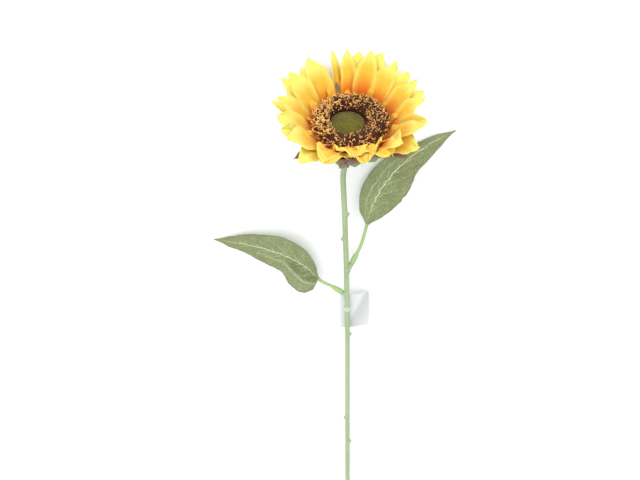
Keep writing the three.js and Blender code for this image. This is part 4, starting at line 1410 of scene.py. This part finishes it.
def make_stem(material):
    """The coated stem, cut square at its foot, with a stout peg for each leaf."""
    radius = sizes().stem_radius
    path = stem_path(STEM_STEP)
    foot, foot_heading = path[0]
    top, top_heading = path[-1]
    sections = [(foot + Vector((0, 0, lift)), foot_heading, width) for lift, width in (
        (BORE_DEPTH, BORE_RADIUS), (0.0, BORE_RADIUS), (0.0, radius - 0.35 * MM),
        (0.3 * MM, radius - 0.05 * MM),
    )]
    sections += [(centre, heading, radius) for centre, heading in path[1:]]
    sections.append((top, top_heading, BORE_RADIUS))
    bm = new_bmesh()
    add_tube(bm, sections, sides=32, swell=stem_swell)
    for leaf in LEAVES.values():
        join_bmesh(bm, make_peg(leaf, radius))
    make_piece(bm, "stem_coat", laid_down(), [material], "stem_plastic", "stem")


def make_wire():
    """The steel wire inside the stem, seen only at the cut end."""
    bm = new_bmesh()
    add_tube(bm, [(centre, heading, WIRE_RADIUS) for centre, heading in stem_path(WIRE_STEP)], sides=16)
    fill_ends(bm)
    make_piece(bm, "core_wire", laid_down(), [steel_material()], "wire", "stem_wire")


# Leaves.


def leaf_frame(leaf, along):
    """The midrib's point and heading, with the ways out of the blade's face and to its left side."""
    points = [Vector(point) * MM for point in leaf.midrib]
    heading = bezier_heading(points, along)
    face = Vector(leaf.face)
    out = (face - heading * face.dot(heading)).normalized()
    return bezier(points, along), heading, out, out.cross(heading)


def leaf_puff(across, along):
    """0 on a vein and 1 half way between two."""
    start = along - VEIN_SWEEP * abs(across) ** VEIN_CURVE
    phase = VEIN_COUNT * start + (VEIN_SHIFT if across < 0 else -VEIN_SHIFT)
    between_veins = abs(math.sin(math.pi * phase))
    return between_veins**0.7 * smooth_step(0.0, 0.12, abs(across)) * smooth_step(1.0, 0.8, along)


def leaf_lobe(half, across, along):
    """A crease leaves the midrib near the middle of the blade and bows round to its base. Outside it the
    side is folded up, about 1 on its crown, and between it and the midrib the cloth is hollow, below 0.
    A side without a lobe has 0."""
    if not half.lobe:
        return 0.0
    crease = 0.36 * math.sin(math.pi * min(max(along / 0.4, 0.0), 1.0)) ** 0.6
    out = abs(across) - crease
    lower = smooth_step(0.44, 0.3, along)
    crown = smooth_step(-0.02, 0.14, out) * (1 - 0.6 * smooth_step(0.14, 0.62, out))
    hollow = 0.4 * smooth_step(0.06, -0.12, out) * smooth_step(0.0, 0.1, abs(across))
    return lower * (crown - hollow)


def leaf_point(leaf, half, across, along):
    """A point of a leaf's blade, on the upright flower."""
    point, heading, out, side = leaf_frame(leaf, along)
    reach = abs(across) * max(between(half.widths, along), 0.4) * MM
    notch = noise.noise(Vector((along * 22, leaf.seed, across))) * smooth_step(0.5, 1.0, abs(across))
    reach *= 1 + 0.035 * notch * smooth_step(1.0, 0.9, along)
    wave = (leaf.wave_height * across * across * (1 - along)
            * math.sin(TURN * (leaf.waves * along + half.phase)))
    relief = sizes().vein_relief * (leaf_puff(across, along) - 0.5) * smooth_step(0.0, 4 * MM, reach)
    crumple = LEAF_CRUMPLE * noise.noise(Vector((across * 3, along * 9, leaf.seed * 2.0))) * abs(across)
    rib = LEAF_MIDRIB * math.exp(-((reach / (0.8 * MM)) ** 2))
    rib += half.lobe * leaf_lobe(half, across, along)
    point = point + side * (math.copysign(1, across) * reach * math.cos(half.fold))
    point -= heading * (reach * half.sweep * math.exp(-((along / 0.16) ** 2)))
    point += out * (reach * math.sin(half.fold) + wave + relief + crumple + rib)
    return rest_on(point, FLOWER_UP, foot_height() + point.dot(FLOWER_UP), LEAF_LEVEL)


def make_leaf(side, leaf, materials):
    """A cloth blade, puffed up between its veins."""
    lobes = []

    def place(across, along):
        half = leaf.right if across < 0 else leaf.left
        lobes.append(leaf_lobe(half, across, along))
        return leaf_point(leaf, half, across, along)

    bm = new_bmesh()
    shade = bm.verts.layers.float.new("shade")
    # The lobe is kept as shade, which the leaf material paints as a highlight on its crown and as shade in
    # its hollow.
    for vert, lobe in zip(add_sheet(bm, place, 56, 120), lobes):
        vert[shade] = lobe
    piece = make_piece(bm, "leaf_blade_" + side, laid_down(), materials, "leaf_fabric", "leaf_" + side,
                       closed=False)
    thicken(piece, sizes().leaf_cloth)


def make_stalk(side, leaf, material):
    """A sleeve over the stem's peg, a thinner bent stalk, and a rib glued under the blade."""
    direction = Vector(leaf.direction).normalized()
    joint = stem_at(leaf.joint)
    mouth = leaf.sleeve_start

    def on_sleeve(distance):
        """A point on the sleeve's axis, at a distance from the stem's."""
        return joint + direction * distance

    def under(along, radius):
        """The middle of a rib of that radius, just under the blade."""
        point, _, out, _ = leaf_frame(leaf, along)
        return point - out * (0.4 * MM + GAP + radius * 1.1)

    rings = [
        (mouth + SLEEVE_BORE_DEPTH, 0.0), (mouth + SLEEVE_BORE_DEPTH, SLEEVE_BORE),
        (mouth + 0.2 * MM, SLEEVE_BORE), (mouth, SLEEVE_BORE + 0.2 * MM), (mouth, SLEEVE_RADIUS - 0.7 * MM),
        (mouth + 0.4 * MM, SLEEVE_RADIUS - 0.35 * MM), (mouth + 1.5 * MM, SLEEVE_RADIUS),
    ]
    for index in range(SLEEVE_STEPS + 1):
        share = index / SLEEVE_STEPS
        width = SLEEVE_RADIUS + (STALK_RADIUS - SLEEVE_RADIUS) * smooth_step(0.45, 1.0, share)
        rings.append((mouth + SLEEVE_LENGTH * (0.3 + 0.7 * share), width))
    sections = [(on_sleeve(distance), direction, width) for distance, width in rings]
    start = on_sleeve(mouth + SLEEVE_LENGTH)
    base = under(0.0, STALK_RADIUS)
    heading = Vector(leaf.base_heading).normalized()
    span = (base - start).length / 3
    bent = (start, start + direction * span, base - heading * span, base)
    shares = [index / BEND_STEPS for index in range(1, BEND_STEPS + 1)]
    sections += [(centre, way, STALK_RADIUS) for centre, way in bezier_path(bent, shares)]
    for index in range(1, RIB_STEPS + 1):
        along = RIB_END * index / RIB_STEPS
        radius = STALK_RADIUS + (RIB_END_RADIUS - STALK_RADIUS) * math.sqrt(index / RIB_STEPS)
        ahead = under(along + 0.01, radius) - under(along - 0.01, radius)
        sections.append((under(along, radius), ahead, radius))
    end, end_heading, end_radius = sections[-1]
    sections.append((end + end_heading.normalized() * end_radius * 0.7, end_heading, end_radius * 0.5))
    bm = new_bmesh()
    add_tube(bm, sections, sides=20)
    fill_ends(bm)
    make_piece(bm, "leaf_stalk_" + side, laid_down(), [material], "stalk_plastic", "stalk_" + side)


# Tag.


def make_tag():
    """A bare card panel, bowed a little, behind the stem."""
    stem_side = -TAG_LEFT / TAG_WIDTH
    back = sizes().stem_radius + BAND_THICKNESS + 2 * GAP + 0.3 * MM

    def place(across, along):
        share = (1 - across) / 2
        bow = TAG_BOW * (share - stem_side) ** 2 * 4
        curl = TAG_CURL * smooth_step(0.7, 1.0, share) * smooth_step(0.6, 1.0, along)
        return Vector((TAG_LEFT + TAG_WIDTH * share, back + bow + curl, TAG_BOTTOM + TAG_HEIGHT * along))

    bm = new_bmesh()
    add_sheet(bm, place, 28, 20)
    piece = make_piece(bm, "blank_tag", laid_down(), [card_material()], "card", "tag", closed=False)
    thicken(piece, sizes().card, back_slot=0)


def make_band():
    """A band of clear film round the stem."""
    inner = sizes().stem_radius + GAP
    outer = inner + BAND_THICKNESS
    profile = ((inner, 0), (outer, 0), (outer, BAND_HEIGHT), (inner, BAND_HEIGHT), (inner, 0))
    bm = new_bmesh()
    add_lathe(bm, profile, segments=48)
    centre = stem_at(BAND_BOTTOM)
    matrix = laid_down() @ Matrix.Translation((centre.x, centre.y, BAND_BOTTOM))
    make_piece(bm, "clear_band", matrix, [film_material()], "clear_film", "tag_band")


# Stage.


def make_floor():
    """The floor that the flower lies on."""
    bm = new_bmesh()
    bmesh.ops.create_grid(bm, x_segments=2, y_segments=2, size=FLOOR_HALF_WIDTH)
    floor = finish_mesh(bm, "studio_floor", Matrix.Identity(4), [floor_material()], closed=False)


def make_lights():
    """A bright even surround, with one large soft lamp over the head and a weaker one beside the stem."""
    scene = bpy.context.scene
    world = bpy.data.worlds.new("studio_surround")
    world.use_nodes = True
    background = world.node_tree.nodes["Background"]
    background.inputs["Color"].default_value = SURROUND
    background.inputs["Strength"].default_value = SURROUND_STRENGTH
    scene.world = world
    scene.view_settings.view_transform = "Standard"
    for name, direction, spread, strength in (("key_lamp", (-0.35, 0.05, 1.0), 70, 1.5),
                                              ("fill_lamp", (0.3, 1.0, 0.75), 90, 1.3)):
        lamp = bpy.data.lights.new(name, "SUN")
        lamp.angle = math.radians(spread)
        lamp.energy = strength
        holder = bpy.data.objects.new(name, lamp)
        holder.location = Vector(direction)
        holder.rotation_euler = Vector(direction).to_track_quat("Z", "Y").to_euler()
        scene.collection.objects.link(holder)


def make_camera():
    """The photograph's view of the flower: level ahead, then tilted down and rolled."""
    data = bpy.data.cameras.new("camera")
    data.lens = CAMERA_LENS
    data.sensor_width = CAMERA_SENSOR
    data.clip_start = CAMERA_NEAR
    camera = bpy.data.objects.new("camera", data)
    bpy.context.scene.collection.objects.link(camera)
    turned = Matrix.Rotation(math.pi / 2 - CAMERA_PITCH, 4, "X") @ Matrix.Rotation(-CAMERA_ROLL, 4, "Z")
    camera.matrix_world = laid_down() @ Matrix.Translation(CAMERA_PLACE) @ turned
    bpy.context.scene.camera = camera


# Operators.


class SUNFLOWER_OT_stage(bpy.types.Operator):
    """Build the pale floor, the soft lights and the camera"""

    bl_idname = "sunflower.stage"
    bl_label = "Studio Stage"

    def execute(self, context):
        make_floor()
        make_lights()
        make_camera()
        return {"FINISHED"}


class SUNFLOWER_OT_stem(bpy.types.Operator):
    """Build the coated stem and the wire inside it"""

    bl_idname = "sunflower.stem"
    bl_label = "Stem and Wire"

    def execute(self, context):
        make_stem(plastic_material("stem_plastic", colours().stem, 0.42, coat=0.15))
        make_wire()
        return {"FINISHED"}


class SUNFLOWER_OT_leaves(bpy.types.Operator):
    """Build the two cloth leaves on their moulded stalks"""

    bl_idname = "sunflower.leaves"
    bl_label = "Leaves and Stalks"

    def execute(self, context):
        tints = colours()
        vein = toned(tints.vein)
        face = leaf_material("leaf_face", tints.leaf, vein, 1.0)
        back = leaf_material("leaf_underside", tints.leaf_back, vein, 0.45)
        stalk = plastic_material("stalk_plastic", tints.stalk, 0.45, coat=0.1)
        for side, leaf in LEAVES.items():
            make_leaf(side, leaf, [face, back])
            make_stalk(side, leaf, stalk)
        return {"FINISHED"}


class SUNFLOWER_OT_petals(bpy.types.Operator):
    """Build the cup, the sepals, the three whorls of petals and their loose threads"""

    bl_idname = "sunflower.petals"
    bl_label = "Cup, Sepals and Petals"

    def execute(self, context):
        face, back, inner, leafy = make_petal_materials()
        make_cup()
        make_whorl("sepal_whorl", "sepals", "sepal_fabric", [leafy, leafy])
        make_whorl("petal_whorl_back", "petals_back", "petal_fabric", [face, back])
        make_whorl("petal_whorl_front", "petals_front", "petal_fabric", [face, back])
        make_whorl("petal_whorl_inner", "petals_inner", "inner_petal_fabric", [inner, inner])
        make_threads(leafy)
        return {"FINISHED"}


class SUNFLOWER_OT_seed_head(bpy.types.Operator):
    """Build the button, the ring of florets and the flocked pad"""

    bl_idname = "sunflower.seed_head"
    bl_label = "Seed Head"

    def execute(self, context):
        make_button()
        make_floret_ring()
        make_seed_pad()
        return {"FINISHED"}


class SUNFLOWER_OT_tag(bpy.types.Operator):
    """Build the blank tag and the clear band that holds it"""

    bl_idname = "sunflower.tag"
    bl_label = "Blank Tag"

    def execute(self, context):
        make_tag()
        make_band()
        return {"FINISHED"}


OPERATORS = (
    SUNFLOWER_OT_stage, SUNFLOWER_OT_stem, SUNFLOWER_OT_leaves, SUNFLOWER_OT_petals, SUNFLOWER_OT_seed_head,
    SUNFLOWER_OT_tag,
)


class SUNFLOWER_PT_build(bpy.types.Panel):
    """Lists the flower's sizes and colours, and what builds each group of pieces"""

    bl_idname = "SUNFLOWER_PT_build"
    bl_label = "Artificial Sunflower"
    bl_space_type = "VIEW_3D"
    bl_region_type = "UI"
    bl_category = "Sunflower"

    def draw(self, context):
        layout = self.layout
        for group in (context.scene.sunflower_sizes, context.scene.sunflower_colours):
            box = layout.box()
            for name in group.bl_rna.properties.keys():
                if name not in ("rna_type", "name"):
                    box.prop(group, name)
        for operator in OPERATORS:
            layout.operator(operator.bl_idname)


CLASSES = (SunflowerSizes, SunflowerColours, *OPERATORS, SUNFLOWER_PT_build)


def register():
    """Make the flower's classes and properties known."""
    for cls in CLASSES:
        bpy.utils.register_class(cls)
    bpy.types.Scene.sunflower_sizes = PointerProperty(type=SunflowerSizes)
    bpy.types.Scene.sunflower_colours = PointerProperty(type=SunflowerColours)


def unregister():
    """Take them away again."""
    del bpy.types.Scene.sunflower_colours
    del bpy.types.Scene.sunflower_sizes
    for cls in reversed(CLASSES):
        bpy.utils.unregister_class(cls)


def main():
    """Build the stage and the flower."""
    register()
    make_groups()
    bpy.ops.sunflower.stage()
    bpy.ops.sunflower.stem()
    bpy.ops.sunflower.leaves()
    bpy.ops.sunflower.petals()
    bpy.ops.sunflower.seed_head()
    bpy.ops.sunflower.tag()


if __name__ == "__main__":
    main()
